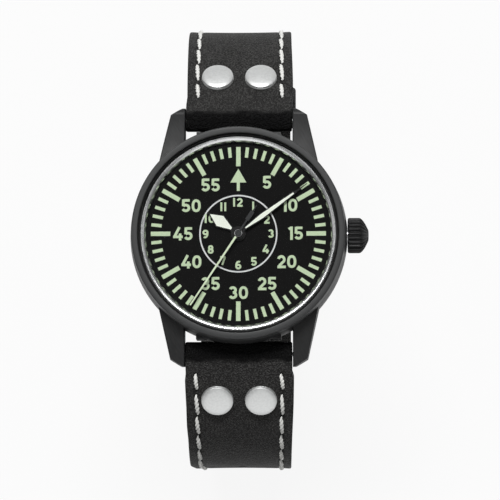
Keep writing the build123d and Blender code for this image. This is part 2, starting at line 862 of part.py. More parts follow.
# Train bridge: closes the cup over the wheels, cut away round the balance
crown_wheel_radius = ratchet_module * (crown_wheel_teeth / 2 + 1)
contrate_inner = crown_wheel_radius - contrate_width - wheel_gap
contrate_reach = contrate_inner + contrate_width / 2
winding_module = 2 * contrate_reach / crown_wheel_teeth
contrate_top = stem_height - winding_module * (winding_teeth / 2 - tooth_root_share) - run
winding_tip = winding_module * (winding_teeth / 2 + tooth_tip_share)
winding_room = 2 * sqrt(winding_tip**2 - (stem_height - bridge_high) ** 2) + 2 * wheel_gap
with BuildPart() as train_bridge:
    disc(hub, movement_radius - run, bridge_low, bridge_high)
    disc(balance_at, balance_radius + wheel_gap, bridge_low, bridge_high, Mode.SUBTRACT)
    with BuildSketch(Plane.XY.offset(bridge_low)):
        with Locations(balance_at, cock_foot_at):
            Circle(cock_radius + wheel_gap)
        make_hull()
    extrude(amount=bridge_thickness, mode=Mode.SUBTRACT)
    ring(
        crown_wheel_at, crown_wheel_radius + wheel_gap, contrate_inner - wheel_gap, bridge_low,
        contrate_top + seat_gap, Mode.SUBTRACT
    )
    with BuildSketch(Plane.XY.offset(bridge_low)):
        with Locations((winding_start + winding_width / 2, 0)):
            Rectangle(winding_width + 2 * wheel_gap, winding_room)
    extrude(amount=bridge_thickness, mode=Mode.SUBTRACT)
    disc(crown_wheel_at, stem_radius, winding_low, bridge_low)
    disc(hub, bearing_core_radius, rotor_low, bridge_low)
    disc(reversing_at, arbor_radius, rotor_gear_low, bridge_low)
    disc(barrel_at, barrel_arbor_radius + run, bridge_low, bridge_high, Mode.SUBTRACT)
    for place in jewel_places["bridge"]:
        disc(place, jewel_radius, bridge_high - jewel_thickness, bridge_high, Mode.SUBTRACT)
    for angle in fastening_post_angles:
        disc(polar(fastening_post_reach, angle), screw_radius, bridge_low, bridge_high, Mode.SUBTRACT)
save(train_bridge.part, "train_bridge")

hairspring_low = bridge_high + wheel_gap / 2
stud_at = polar(hairspring_outer + hairspring_thickness / 2 + stud_radius, 0, balance_at)
with BuildPart() as balance_cock:
    cock_low = bridge_low
    cock_high = bridge_high - seat_gap
    with BuildSketch(Plane.XY.offset(cock_low)):
        with Locations(balance_at, cock_foot_at):
            Circle(cock_radius)
        with Locations(stud_at):
            Circle(2 * stud_radius)
        make_hull()
    extrude(amount=cock_high - cock_low)
    disc(cock_foot_at, cock_radius, cock_high, bridge_high)
    disc(stud_at, stud_radius, cock_high, hairspring_low + hairspring_height)
    disc(cock_foot_at, screw_radius, cock_low, bridge_high, Mode.SUBTRACT)
    disc(balance_at, jewel_radius, cock_high - jewel_thickness, cock_high, Mode.SUBTRACT)
save(balance_cock.part, "balance_cock")

with BuildPart() as pallet_bridge:
    pallet_foot_at = polar(fastening_post_reach, fastening_post_angles[-1])
    with BuildSketch(Plane.XY.offset(pallet_bridge_low)):
        with Locations(fork_at, pallet_foot_at):
            Circle(jewel_radius + balance_rim_width / 2)
        make_hull()
        with Locations(pallet_foot_at):
            Circle(fastening_post_radius, mode=Mode.SUBTRACT)
        with Locations(fork_at):
            Circle(pivot_radius + run, mode=Mode.SUBTRACT)
    extrude(amount=pallet_bridge_thickness)
save(pallet_bridge.part, "pallet_bridge")

with BuildPart() as jewels:
    jewel_levels = [(place, bridge_high - jewel_thickness) for place in jewel_places["bridge"]]
    jewel_levels += [(place, floor_low) for place in jewel_places["floor"]]
    jewel_levels.append((balance_at, cock_high - jewel_thickness))
    for place, low in jewel_levels:
        ring(place, jewel_radius, pivot_radius + run, low, low + jewel_thickness)
save(jewels.part, "jewels")

# Barrel: a toothed drum round the mainspring, turning on its arbor
with BuildPart() as barrel:
    centre_phase = 0
    barrel_phase = mesh_phase(centre_pinion_teeth, centre_phase, barrel_teeth, barrel_direction)
    drum_radius = barrel_module * (barrel_teeth / 2 - 2)
    barrel_top = barrel_low + barrel_height
    toothed(barrel_teeth, barrel_module, barrel_phase, barrel_at, barrel_low, barrel_low + barrel_rim)
    disc(barrel_at, drum_radius, barrel_low, barrel_top)
    drum_bore = drum_radius - barrel_wall
    disc(barrel_at, drum_bore, barrel_low + barrel_rim, barrel_top - barrel_wall, Mode.SUBTRACT)
    disc(barrel_at, barrel_arbor_radius + run, barrel_low, barrel_top, Mode.SUBTRACT)
save(barrel.part, "barrel")

with BuildPart() as mainspring:
    spring_outer = drum_bore - mainspring_thickness / 2
    spring_inner = barrel_core_radius + mainspring_thickness
    spring_low = barrel_low + barrel_rim + run
    ribbon = spiral_points(mainspring_turns, spring_inner, spring_outer, mainspring_thickness, barrel_at)
    with BuildSketch(Plane.XY.offset(spring_low)):
        Polygon(*ribbon, align=None)
    extrude(amount=barrel_top - barrel_wall - run - spring_low)
save(mainspring.part, "mainspring")

with BuildPart() as barrel_arbor:
    disc(barrel_at, barrel_arbor_radius, winding_low, barrel_top)
    disc(barrel_at, barrel_core_radius, spring_low, barrel_top - barrel_wall - run)
    disc(barrel_at, barrel_arbor_radius / 2, barrel_low, pocket_low)
save(barrel_arbor.part, "barrel_arbor")

# Going train: centre, third, seconds and escape wheels, each in mesh with the next
third_phase = mesh_phase(centre_teeth, centre_phase, third_pinion_teeth, third_direction)
seconds_phase = mesh_phase(third_teeth, third_phase, seconds_pinion_teeth, third_direction + 180)
escape_phase = mesh_phase(seconds_teeth, seconds_phase, escape_pinion_teeth, escape_direction)
with BuildPart() as centre_wheel:
    toothed(centre_teeth, centre_module, centre_phase, hub, centre_low, centre_low + wheel_thickness)
    windows(hub, third_distance, centre_low, centre_low + wheel_thickness)
    toothed(
        centre_pinion_teeth, barrel_module, centre_phase, hub, barrel_low - pinion_overlap,
        barrel_low + barrel_rim + pinion_overlap
    )
    disc(hub, centre_tube_radius, barrel_low - pinion_overlap, dial_top)
    disc(hub, centre_tube_bore, third_low, dial_top + overrun, Mode.SUBTRACT)
save(centre_wheel.part, "centre_wheel")

with BuildPart() as third_wheel:
    toothed(third_teeth, third_module, third_phase, third_at, third_low, third_low + wheel_thickness)
    windows(third_at, third_distance, third_low, third_low + wheel_thickness)
    toothed(
        third_pinion_teeth, centre_module, third_phase, third_at, centre_low - pinion_overlap,
        centre_low + wheel_thickness + pinion_overlap
    )
    arbor(third_at, bridge_high + run, floor_low - run)
save(third_wheel.part, "third_wheel")

with BuildPart() as seconds_wheel:
    toothed(seconds_teeth, seconds_module, seconds_phase, hub, seconds_low, seconds_low + wheel_thickness)
    windows(hub, escape_distance, seconds_low, seconds_low + wheel_thickness)
    toothed(
        seconds_pinion_teeth, third_module, seconds_phase, hub, third_low - pinion_overlap,
        third_low + wheel_thickness + pinion_overlap
    )
    disc(hub, arbor_radius, bridge_high + run, seconds_hand_low + hand_thickness)
    disc(hub, pivot_radius, bridge_high - pivot_length, bridge_high + run)
save(seconds_wheel.part, "seconds_wheel")

with BuildPart() as escape_wheel:
    escape_rim = escape_radius * escape_rim_share
    places = []
    for tooth in range(escape_teeth):
        for share, radius in zip(escape_tooth_shares, (escape_rim, escape_radius, escape_rim)):
            places.append(polar(radius, escape_phase + (tooth + share) * 360 / escape_teeth, escape_at))
    with BuildSketch(Plane.XY.offset(fork_low)):
        Polygon(*places, align=None)
    extrude(amount=fork_thickness)
    windows(escape_at, escape_rim, fork_low, fork_high)
    toothed(
        escape_pinion_teeth, seconds_module, escape_phase, escape_at, seconds_low - pinion_overlap,
        seconds_low + wheel_thickness + pinion_overlap
    )
    arbor(escape_at, bridge_high + run, floor_low - run)
save(escape_wheel.part, "escape_wheel")

# Pallet fork: a lever with a slot for the impulse pin and two arms with their stones
with BuildPart() as pallet_fork:
    lever_reach = fork_length - impulse_reach + impulse_radius
    stone_reach = escape_radius * sin(radians(fork_half_span)) / cos(radians(fork_half_span))
    lever_plane = Plane(
        origin=(*fork_at, fork_low),
        x_dir=(cos(radians(fork_direction)), sin(radians(fork_direction)), 0),
        z_dir=(0, 0, 1),
    )
    with BuildSketch(lever_plane):
        with Locations((lever_reach / 2, 0)):
            Rectangle(lever_reach, fork_width)
        with Locations((lever_reach - fork_slot_depth / 2, 0)):
            Rectangle(fork_slot_depth, fork_slot_width + fork_width)
        with Locations((lever_reach - fork_slot_depth / 2 + impulse_radius, 0)):
            Rectangle(fork_slot_depth, fork_slot_width, mode=Mode.SUBTRACT)
        Circle(fork_width)
        for side in (1, -1):
            arm_angle = 180 + side * (90 - fork_half_span)
            with Locations(Location(polar(stone_reach / 2, arm_angle), arm_angle)):
                Rectangle(stone_reach, fork_width)
            with Locations(Location(polar(stone_reach, arm_angle), arm_angle + side * 90)):
                Rectangle(stone_length, stone_width)
    extrude(amount=fork_thickness)
    arbor(fork_at, pallet_bridge_low + pallet_bridge_thickness + run, floor_low - run)
save(pallet_fork.part, "pallet_fork")

# Balance: a ring on three arms, with its staff, roller and impulse pin
impulse_at = polar(impulse_reach, fork_direction + 180, balance_at)
with BuildPart() as balance_wheel:
    ring(balance_at, balance_radius, balance_radius - balance_rim_width, balance_low, balance_high)
    with BuildSketch(Plane.XY.offset(balance_low + wheel_gap)):
        with Locations(balance_at):
            Circle(balance_hub_radius)
            with PolarLocations((balance_radius - balance_rim_width / 2) / 2, balance_arms):
                Rectangle(balance_radius - balance_rim_width / 2, balance_arm_width)
    extrude(amount=wheel_gap)
    collet_radius = hairspring_inner - hairspring_thickness / 2
    disc(balance_at, collet_radius, hairspring_low, hairspring_low + hairspring_height)
    disc(balance_at, roller_radius, balance_high + seat_gap, pallet_bridge_low + pallet_bridge_thickness)
    disc(impulse_at, impulse_radius, balance_high + seat_gap, fork_high)
    arbor(balance_at, bridge_high + run, floor_low - run)
save(balance_wheel.part, "balance_wheel")

with BuildPart() as hairspring:
    coils = spiral_points(
        hairspring_turns, hairspring_inner, hairspring_outer, hairspring_thickness, balance_at
    )
    with BuildSketch(Plane.XY.offset(hairspring_low)):
        Polygon(*coils, align=None)
    extrude(amount=hairspring_height)
save(hairspring.part, "hairspring")

# Motion work: cannon pinion, minute wheel and hour wheel under the dial
minute_wheel_phase = mesh_phase(cannon_teeth, centre_phase, minute_wheel_teeth, motion_direction)
hour_phase = mesh_phase(minute_pinion_teeth, minute_wheel_phase, hour_teeth, motion_direction + 180)
cannon_low = pocket_low + motion_wheel_rise
hour_low = cannon_low + 2 * wheel_thickness
with BuildPart() as cannon_pinion:
    toothed(cannon_teeth, cannon_module, centre_phase, hub, cannon_low, cannon_low + wheel_thickness)
    disc(hub, cannon_pipe_radius, cannon_low - wheel_gap / 2, minute_hand_low + hand_thickness)
    disc(hub, centre_tube_radius, pocket_low, dial_top, Mode.SUBTRACT)
    disc(hub, centre_tube_bore, dial_top, dial_top + overrun, Mode.SUBTRACT)
save(cannon_pinion.part, "cannon_pinion")

with BuildPart() as minute_wheel:
    cannon_high = cannon_low + wheel_thickness
    toothed(minute_wheel_teeth, cannon_module, minute_wheel_phase, motion_at, cannon_low, cannon_high)
    windows(motion_at, motion_distance * minute_window_share, cannon_low, cannon_high)
    pinion_high = hour_low + wheel_thickness + seat_gap
    toothed(minute_pinion_teeth, hour_module, minute_wheel_phase, motion_at, cannon_low, pinion_high)
    disc(motion_at, arbor_radius + run, pocket_low, plate_high, Mode.SUBTRACT)
save(minute_wheel.part, "minute_wheel")

with BuildPart() as hour_wheel:
    toothed(hour_teeth, hour_module, hour_phase, hub, hour_low, hour_low + wheel_thickness)
    disc(hub, hour_pipe_radius, hour_low, hour_hand_low + hand_thickness)
    disc(hub, cannon_pipe_radius + run, hour_low - overrun, minute_hand_low, Mode.SUBTRACT)
save(hour_wheel.part, "hour_wheel")

# Winding work: stem, clutch wheel, winding pinion, crown wheel and ratchet wheel
clutch_start = winding_start - seat_gap - clutch_width
with BuildPart() as winding_stem:
    rod((0, stem_height), stem_pilot_radius, stem_inner_end, winding_start)
    with BuildSketch(Plane.YZ.offset(clutch_start - clutch_slide)):
        with Locations((0, stem_height)):
            Rectangle(stem_square, stem_square)
    extrude(amount=winding_start - clutch_start + clutch_slide)
    rod((0, stem_height), stem_radius, winding_start, stem_outer_end)
save(winding_stem.part, "winding_stem")

with BuildPart() as clutch_wheel:
    rod((0, stem_height), clutch_radius, clutch_start, clutch_start + clutch_width)
    with BuildSketch(Plane.YZ.offset(clutch_start + (clutch_width - clutch_groove_width) / 2)):
        with Locations((0, stem_height)):
            Circle(clutch_radius + overrun)
            Circle(clutch_radius - clutch_groove_depth, mode=Mode.SUBTRACT)
    extrude(amount=clutch_groove_width, mode=Mode.SUBTRACT)
    with BuildSketch(Plane.YZ.offset(clutch_start - overrun)):
        with Locations((0, stem_height)):
            Rectangle(stem_square + 2 * run, stem_square + 2 * run)
    extrude(amount=clutch_width + 2 * overrun, mode=Mode.SUBTRACT)
save(clutch_wheel.part, "clutch_wheel")

with BuildPart() as winding_pinion:
    with BuildSketch(Plane(origin=(winding_start, 0, stem_height), x_dir=(0, 1, 0), z_dir=(1, 0, 0))):
        Polygon(*tooth_points(winding_teeth, winding_module, 180 / winding_teeth - 90, hub), align=None)
        Circle(stem_radius + run, mode=Mode.SUBTRACT)
    extrude(amount=winding_width)
save(winding_pinion.part, "winding_pinion")

crown_wheel_phase = 0
contrate_tooth = contrate_tooth_share * 2 * pi * contrate_reach / crown_wheel_teeth
ratchet_direction = bearing_of(crown_wheel_at, barrel_at)
ratchet_phase = mesh_phase(crown_wheel_teeth, crown_wheel_phase, ratchet_teeth, ratchet_direction)
with BuildPart() as crown_wheel:
    toothed(crown_wheel_teeth, ratchet_module, crown_wheel_phase, crown_wheel_at, winding_low, winding_high)
    with BuildSketch(Plane.XY.offset(winding_low)):
        with Locations(crown_wheel_at):
            with PolarLocations(contrate_reach, crown_wheel_teeth):
                Rectangle(contrate_width, contrate_tooth)
    extrude(amount=contrate_top - winding_low)
    disc(crown_wheel_at, stem_radius + run, winding_low, winding_high, Mode.SUBTRACT)
save(crown_wheel.part, "crown_wheel")

with BuildPart() as ratchet_wheel:
    toothed(ratchet_teeth, ratchet_module, ratchet_phase, barrel_at, winding_low, winding_high)
    disc(barrel_at, barrel_arbor_radius, winding_low, winding_high, Mode.SUBTRACT)
save(ratchet_wheel.part, "ratchet_wheel")

# Automatic winding: the weight on its ball bearing, and the reversing wheel it drives
with BuildPart() as rotor_bearing:
    ring(hub, bearing_inner_radius, bearing_core_radius, rotor_low, rotor_high)
    with Locations((0, 0, (rotor_low + rotor_high) / 2)):
        with PolarLocations(bearing_inner_radius + ball_radius, ball_count):
            Sphere(ball_radius)
save(rotor_bearing.part, "rotor_bearing")

with BuildPart() as rotor:
    with BuildSketch(Plane.XY.offset(rotor_low)):
        with BuildLine():
            CenterArc(hub, rotor_radius, 180, rotor_arc)
            Line((-rotor_radius, 0), (rotor_radius, 0))
        make_face()
        Circle(bearing_radius + rotor_hub_wall)
    extrude(amount=rotor_web)
    with BuildSketch(Plane.XY.offset(rotor_low)):
        with BuildLine():
            CenterArc(hub, rotor_radius, 180, rotor_arc)
            CenterArc(hub, rotor_radius - rotor_rim_width, 180, rotor_arc)
            Line((-rotor_radius, 0), (rotor_rim_width - rotor_radius, 0))
            Line((rotor_radius, 0), (rotor_radius - rotor_rim_width, 0))
        make_face()
    extrude(amount=rotor_height)
    toothed(rotor_gear_teeth, rotor_gear_module, 0, hub, rotor_low + rotor_web, rotor_high)
    disc(hub, bearing_bore, rotor_low, rotor_high, Mode.SUBTRACT)
save(rotor.part, "rotor")

reversing_direction = barrel_direction + reversing_opening
reversing_phase = mesh_phase(rotor_gear_teeth, 0, reversing_teeth, reversing_direction)
pinion_direction = bearing_of(barrel_at, reversing_at)
reversing_pinion_phase = mesh_phase(ratchet_teeth, ratchet_phase, reversing_pinion_teeth, pinion_direction)
with BuildPart() as reversing_wheel:
    toothed(reversing_teeth, rotor_gear_module, reversing_phase, reversing_at, rotor_gear_low, rotor_high)
    disc(reversing_at, arbor_radius + run, rotor_low, rotor_high, Mode.SUBTRACT)
save(reversing_wheel.part, "reversing_wheel")

with BuildPart() as reversing_pinion:
    toothed(
        reversing_pinion_teeth, ratchet_module, reversing_pinion_phase, reversing_at, rotor_high + run,
        winding_high,
    )
    disc(reversing_at, arbor_radius + run, rotor_low, bridge_low, Mode.SUBTRACT)
save(reversing_pinion.part, "reversing_pinion")

with BuildPart() as movement_screws:
    screw_places = [polar(fastening_post_reach, angle) for angle in fastening_post_angles]
    for place in (*screw_places, cock_foot_at):
        disc(place, screw_radius, bridge_low, bridge_low + screw_length)
        disc(place, screw_head_radius, bridge_low - screw_head_height, bridge_low)
        with BuildSketch(Plane.XY.offset(bridge_low - screw_head_height)):
            with Locations(place):
                Rectangle(2 * screw_head_radius, screw_slot)
        extrude(amount=screw_slot, mode=Mode.SUBTRACT)
save(movement_screws.part, "movement_screws")

# Spring bars: a tube with a sprung tip at each end, between each pair of lugs
with BuildPart() as spring_bar_tubes:
    for side in (1, -1):
        with BuildSketch(Plane.YZ):
            with Locations((side * bar_reach, bar_height)):
                Circle(bar_tube_radius)
                Circle(bar_tube_radius - bar_tube_wall, mode=Mode.SUBTRACT)
        extrude(amount=bar_tube_length / 2, both=True)
save(spring_bar_tubes.part, "spring_bar_tubes")

for place, side in (("12", 1), ("6", -1)):
    for hand, way in (("left", -1), ("right", 1)):
        with BuildPart() as bar_tip:
            shoulder = bar_tube_length / 2 - seat_gap
            shoulder_radius = bar_tube_radius - bar_tube_wall - run
            tip = strap_width / 2 + bar_tip_reach
            centre = (side * bar_reach, bar_height)
            rod(centre, shoulder_radius, way * shoulder, way * (shoulder - bar_shoulder_length))
            rod(centre, bar_tip_radius, way * shoulder, way * tip)
        save(bar_tip.part, f"spring_bar_tip_{place}_{hand}")


# Strap: each half follows runs of constant curvature, from the eye on the spring bar
def strap_runs(drop, *after):
    """A half's runs, each a length and the turn it makes: the bend, the drop, the foot and what follows."""
    return [(bend_middle * radians(90 - strap_start_angle), 90 - strap_start_angle), (drop, 0),
            (foot_middle * radians(90), 90), *after]


def strap_place(runs, distance):
    """Where a half's middle line is after a distance: its y and z, and its angle down from +Y."""
    angle = strap_start_angle
    y = bar_reach + eye_lift * sin(radians(angle))
    z = bar_height + eye_lift * cos(radians(angle))
    for length, turn in runs:
        part_length = min(distance, length)
        if turn:
            radius = length / radians(turn)
            new_angle = angle + degrees(part_length / radius)
            y += radius * (sin(radians(new_angle)) - sin(radians(angle)))
            z += radius * (cos(radians(new_angle)) - cos(radians(angle)))
            angle = new_angle
        else:
            y += part_length * cos(radians(angle))
            z -= part_length * sin(radians(angle))
        distance -= part_length
    return y, z, angle


def thickness_at(runs, distance):
    """A half's thickness: it thins along the bend, and again towards its end."""
    bend = runs[0][0]
    rest = sum(length for length, turn in runs[:3])
    total = sum(length for length, turn in runs)
    if distance < bend:
        return strap_thickness + (strap_bend_thickness - strap_thickness) * distance / bend
    if distance < rest:
        return strap_bend_thickness
    thinned = (strap_bend_thickness - strap_tip_thickness) * (distance - rest) / (total - rest)
    return strap_bend_thickness - thinned


def strap_edge(runs, distance, side):
    """A point of a half's outer side (1) or inner side (-1)."""
    y, z, angle = strap_place(runs, distance)
    half = side * thickness_at(runs, distance) / 2
    return (y + half * sin(radians(angle)), z + half * cos(radians(angle)))


def strap_plane(runs, distance, lift=0):
    """A plane on a half: X across it, Y along it towards its end, Z out of its outer side."""
    y, z, angle = strap_place(runs, distance)
    normal = (0, sin(radians(angle)), cos(radians(angle)))
    return Plane(
        origin=(0, y + lift * normal[1], z + lift * normal[2]), x_dir=(1, 0, 0), z_dir=normal
    )


bend_middle = strap_bend_radius - strap_thickness / 2
foot_middle = strap_foot_radius - strap_bend_thickness / 2
eye_lift = strap_eye_radius - strap_thickness / 2
short_runs = strap_runs(short_drop, (short_tail, 0))
foot_start = short_runs[0][0] + short_drop
short_length = sum(length for length, turn in short_runs)
foot_centre_y = strap_place(short_runs, foot_start)[0] - foot_middle
foot_centre_z = strap_place(short_runs, foot_start)[1]
keeper_half = keeper_length / 2
keeper_outer = foot_middle + strap_bend_thickness / 2 + keeper_room + keeper_wall
keeper_tilt = radians(90 - fixed_keeper_angle)
floor_level = foot_centre_z - keeper_outer * cos(keeper_tilt) - keeper_half * sin(keeper_tilt)
long_drop = foot_centre_z + short_drop - foot_middle - strap_bend_thickness / 2 - floor_level
long_runs = strap_runs(
    long_drop, (long_flat, 0), (long_curl_radius * radians(long_curl_turn), long_curl_turn)
)
long_length = sum(length for length, turn in long_runs)
strap_half_width = strap_width / 2 - seat_gap
end_half_width = strap_end_width / 2
bend_centre_y = strap_place(short_runs, 0)[0] - bend_middle * sin(radians(strap_start_angle))
rivet_reach = bar_reach + rivet_distance_out
rivet_angle = degrees(asin((rivet_reach - bend_centre_y) / strap_bend_radius))
rivet_distance = bend_middle * radians(rivet_angle - strap_start_angle)
rivet_depth = thickness_at(short_runs, rivet_distance)


def strap_section(runs):
    """A half's side view, closed: its outer side from the eye to the end, then its inner side back."""
    stops = [0]
    for length, turn in runs:
        stops.append(stops[-1] + length)
    with BuildSketch(Plane.YZ) as section:
        with BuildLine():
            for (length, turn), start, stop in zip(runs, stops, stops[1:]):
                for side in (1, -1):
                    first, last = strap_edge(runs, start, side), strap_edge(runs, stop, side)
                    if turn:
                        ThreePointArc(first, strap_edge(runs, (start + stop) / 2, side), last)
                    else:
                        Line(first, last)
            Line(strap_edge(runs, 0, 1), strap_edge(runs, 0, -1))
            Line(strap_edge(runs, stops[-1], 1), strap_edge(runs, stops[-1], -1))
        make_face()
        with Locations((bar_reach, bar_height)):
            Circle(strap_eye_radius)
    return section.sketch


def strap_body(runs):
    """A half as wide as the lugs at its eye, tapering slowly to its end width low on the foot."""
    widest = strap_edge(runs, runs[0][0], 1)
    turn_half_width = strap_half_width - (strap_half_width - end_half_width) * bend_taper_share
    extrude(strap_section(runs), amount=strap_half_width, both=True)
    with BuildSketch(Plane.XY.offset(widest[1])) as upper:
        Polygon(
            (-strap_half_width, 0),
            (-strap_half_width, bar_reach),
            (-turn_half_width, widest[0]),
            (-turn_half_width, widest[0] + overrun),
            (turn_half_width, widest[0] + overrun),
            (turn_half_width, widest[0]),
            (strap_half_width, bar_reach),
            (strap_half_width, 0),
            align=None,
        )
    with BuildSketch(Plane.XZ) as lower:
        Polygon(
            (-turn_half_width, widest[1]),
            (turn_half_width, widest[1]),
            (end_half_width, floor_level + strap_foot_radius / 2),
            (end_half_width, floor_level - overrun),
            (-end_half_width, floor_level - overrun),
            (-end_half_width, floor_level + strap_foot_radius / 2),
            align=None,
        )
    eye_top = bar_height + strap_eye_radius
    high = extrude(upper.sketch, amount=eye_top + overrun - widest[1], mode=Mode.PRIVATE)
    low = extrude(lower.sketch, amount=widest[0] + strap_bend_radius, both=True, mode=Mode.PRIVATE)
    add(high + low, mode=Mode.INTERSECT)


rivet_seat_plane = strap_plane(short_runs, rivet_distance, rivet_depth / 2 - rivet_seat)
cap_seat_plane = strap_plane(short_runs, rivet_distance, -rivet_depth / 2)


def rivet_holes():
    """Cuts the flat seats of the rivet heads and caps, and the holes of the shanks."""
    with BuildSketch(cap_seat_plane) as cap:
        with Locations((rivet_x, 0), (-rivet_x, 0)):
            Circle(rivet_cap_radius + run)
    extrude(cap.sketch, amount=-overrun, mode=Mode.SUBTRACT)
    with BuildSketch(rivet_seat_plane) as head:
        with Locations((rivet_x, 0), (-rivet_x, 0)):
            Circle(rivet_radius + run)
    extrude(head.sketch, amount=rivet_seat + overrun, mode=Mode.SUBTRACT)
    with BuildSketch(rivet_seat_plane) as shank:
        with Locations((rivet_x, 0), (-rivet_x, 0)):
            Circle(rivet_shank_radius)
    extrude(shank.sketch, amount=-rivet_depth - overrun, mode=Mode.SUBTRACT)


with BuildPart() as strap_short:
    strap_body(short_runs)
    end_y, end_z, end_angle = strap_place(short_runs, short_length)
    buckle_at = (end_y, end_z)
    rod(buckle_at, short_end_eye_radius, -end_half_width, end_half_width)
    rod((bar_reach, bar_height), bar_tube_radius + run, -strap_width, strap_width, Mode.SUBTRACT)
    rod(buckle_at, buckle_bar_radius + run, -strap_width, strap_width, Mode.SUBTRACT)
    with BuildSketch(strap_plane(short_runs, short_length)):
        with Locations((0, short_end_eye_radius - tongue_slot_length / 2)):
            Rectangle(tongue_slot_width, tongue_slot_length)
    extrude(amount=2 * short_end_eye_radius, both=True, mode=Mode.SUBTRACT)
    rivet_holes()
save(strap_short.part, "strap_short")

with BuildPart() as long_shape:
    strap_body(long_runs)
    rod((bar_reach, bar_height), bar_tube_radius + run, -strap_width, strap_width, Mode.SUBTRACT)
    rivet_holes()
    for n in range(hole_count):
        with BuildSketch(strap_plane(long_runs, long_length - hole_end - n * hole_pitch)):
            Circle(hole_radius)
        extrude(amount=strap_thickness, both=True, mode=Mode.SUBTRACT)
    with BuildSketch(strap_plane(long_runs, long_length)):
        for side in (1, -1):
            Polygon(
                (side * end_half_width, -tip_point_length), (side * tip_point_half, 0),
                (side * tip_point_half, overrun), (side * strap_width, overrun),
                (side * strap_width, -tip_point_length), align=None,
            )
    extrude(amount=2 * strap_thickness, both=True, mode=Mode.SUBTRACT)
with BuildPart() as strap_long:
    add(mirror(long_shape.part, about=Plane.XZ, mode=Mode.PRIVATE))
save(strap_long.part, "strap_long")

# Rivets: each is a domed head on a shank through the strap, riveted over a cap behind it
with BuildPart() as rivet:
    shank_end = -rivet_depth + rivet_seat
    with BuildSketch(Plane.XZ):
        with BuildLine():
            dome = TangentArc((0, rivet_height), (rivet_radius, rivet_edge), tangent=(1, 0))
            Polyline(
                dome @ 1, (rivet_radius, 0), (rivet_shank_radius, 0), (rivet_shank_radius, shank_end),
                (rivet_cap_radius, shank_end), (rivet_cap_radius, shank_end - rivet_cap_height),
                (0, shank_end - rivet_cap_height), dome @ 0,
            )
        make_face()
    revolve(axis=Axis.Z)

with BuildPart() as rivets_short:
    with Locations(rivet_seat_plane):
        with Locations((rivet_x, 0, 0), (-rivet_x, 0, 0)):
            add(rivet.part)
save(rivets_short.part, "rivets_short")

with BuildPart() as rivets_long:
    mirror(rivets_short.part, about=Plane.XZ)
save(rivets_long.part, "rivets_long")


# Keepers: two leather loops on the short half, one sewn down and one free
def keeper(angle):
    """A rectangular loop round the strap, at an angle along the foot."""
    distance = foot_start + foot_middle * radians(angle)
    place = strap_plane(short_runs, distance)
    low = -strap_bend_thickness / 2 - keeper_play
    high = strap_bend_thickness / 2 + keeper_room
    inner = strap_end_width + 2 * keeper_side_play
    section = Plane(origin=place.origin, x_dir=place.x_dir, z_dir=-place.y_dir)
    with BuildSketch(section) as shape:
        with Locations((0, (low + high) / 2)):
            RectangleRounded(inner + 2 * keeper_wall, high - low + 2 * keeper_wall, keeper_corner)
            Rectangle(inner, high - low, mode=Mode.SUBTRACT)
    extrude(shape.sketch, amount=keeper_half, both=True)


with BuildPart() as keeper_fixed:
    keeper(fixed_keeper_angle)
save(keeper_fixed.part, "keeper_fixed")

with BuildPart() as keeper_free:
    keeper(free_keeper_angle)
save(keeper_free.part, "keeper_free")

# Buckle: a flat frame on a bar, and the tongue that rests in the frame's notch
buckle_inner_width = strap_end_width + 2 * buckle_side_play
buckle_width = buckle_inner_width + 2 * buckle_side_width
buckle_angle = end_angle - buckle_tilt
buckle_normal = (0, sin(radians(buckle_angle)), cos(radians(buckle_angle)))
buckle_plane = Plane(origin=(0, *buckle_at), x_dir=(1, 0, 0), z_dir=buckle_normal)
side_plane = Plane(origin=(0, *buckle_at), x_dir=buckle_plane.y_dir, z_dir=(1, 0, 0))
notch_floor = buckle_thickness / 2 - tongue_notch
with BuildPart() as buckle_frame:
    with BuildSketch(buckle_plane):
        with Locations((0, buckle_length / 2 - buckle_back)):
            RectangleRounded(buckle_width, buckle_length, buckle_corner)
        with Locations((0, buckle_inner_length - buckle_length / 2)):
            Rectangle(buckle_inner_width, buckle_length, mode=Mode.SUBTRACT)
    extrude(amount=buckle_thickness / 2, both=True)
    with BuildSketch(buckle_plane.offset(notch_floor)):
        with Locations((0, buckle_length)):
            Rectangle(tongue_width + 2 * run, buckle_length)
    extrude(amount=buckle_thickness, mode=Mode.SUBTRACT)
    rod(buckle_at, buckle_bar_radius, -strap_width, strap_width, Mode.SUBTRACT)
save(buckle_frame.part, "buckle_frame")

with BuildPart() as buckle_bar:
    bar_half = buckle_width / 2 - buckle_bar_overhang
    rod(buckle_at, buckle_bar_radius, -bar_half, bar_half)
save(buckle_bar.part, "buckle_bar")

with BuildPart() as buckle_tongue:
    tongue_tip = buckle_length - buckle_back + tongue_thickness / 2
    with BuildSketch(side_plane):
        Circle(tongue_eye_radius)
        Polygon(
            (0, tongue_eye_radius - tongue_thickness),
            (0, tongue_eye_radius),
            (buckle_inner_length, notch_floor + run + tongue_thickness),
            (tongue_tip, notch_floor + tongue_thickness),
            (tongue_tip, notch_floor + run),
            (buckle_inner_length, notch_floor + run),
            align=None,
        )
    extrude(amount=tongue_width / 2, both=True)
    rod(buckle_at, buckle_bar_radius + run, -strap_width, strap_width, Mode.SUBTRACT)
save(buckle_tongue.part, "buckle_tongue")

print("strap lengths", round(short_length, 2), round(long_length, 2))
print("case radius", round(case_radius, 2), "floor level", round(floor_level, 2))
print("buckle bar at", buckle_at, "foot centre", foot_centre_y, foot_centre_z)
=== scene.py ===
import json
from math import cos, pi, radians, sin

import bmesh
import bpy
import numpy as np
from mathutils import Matrix, Vector


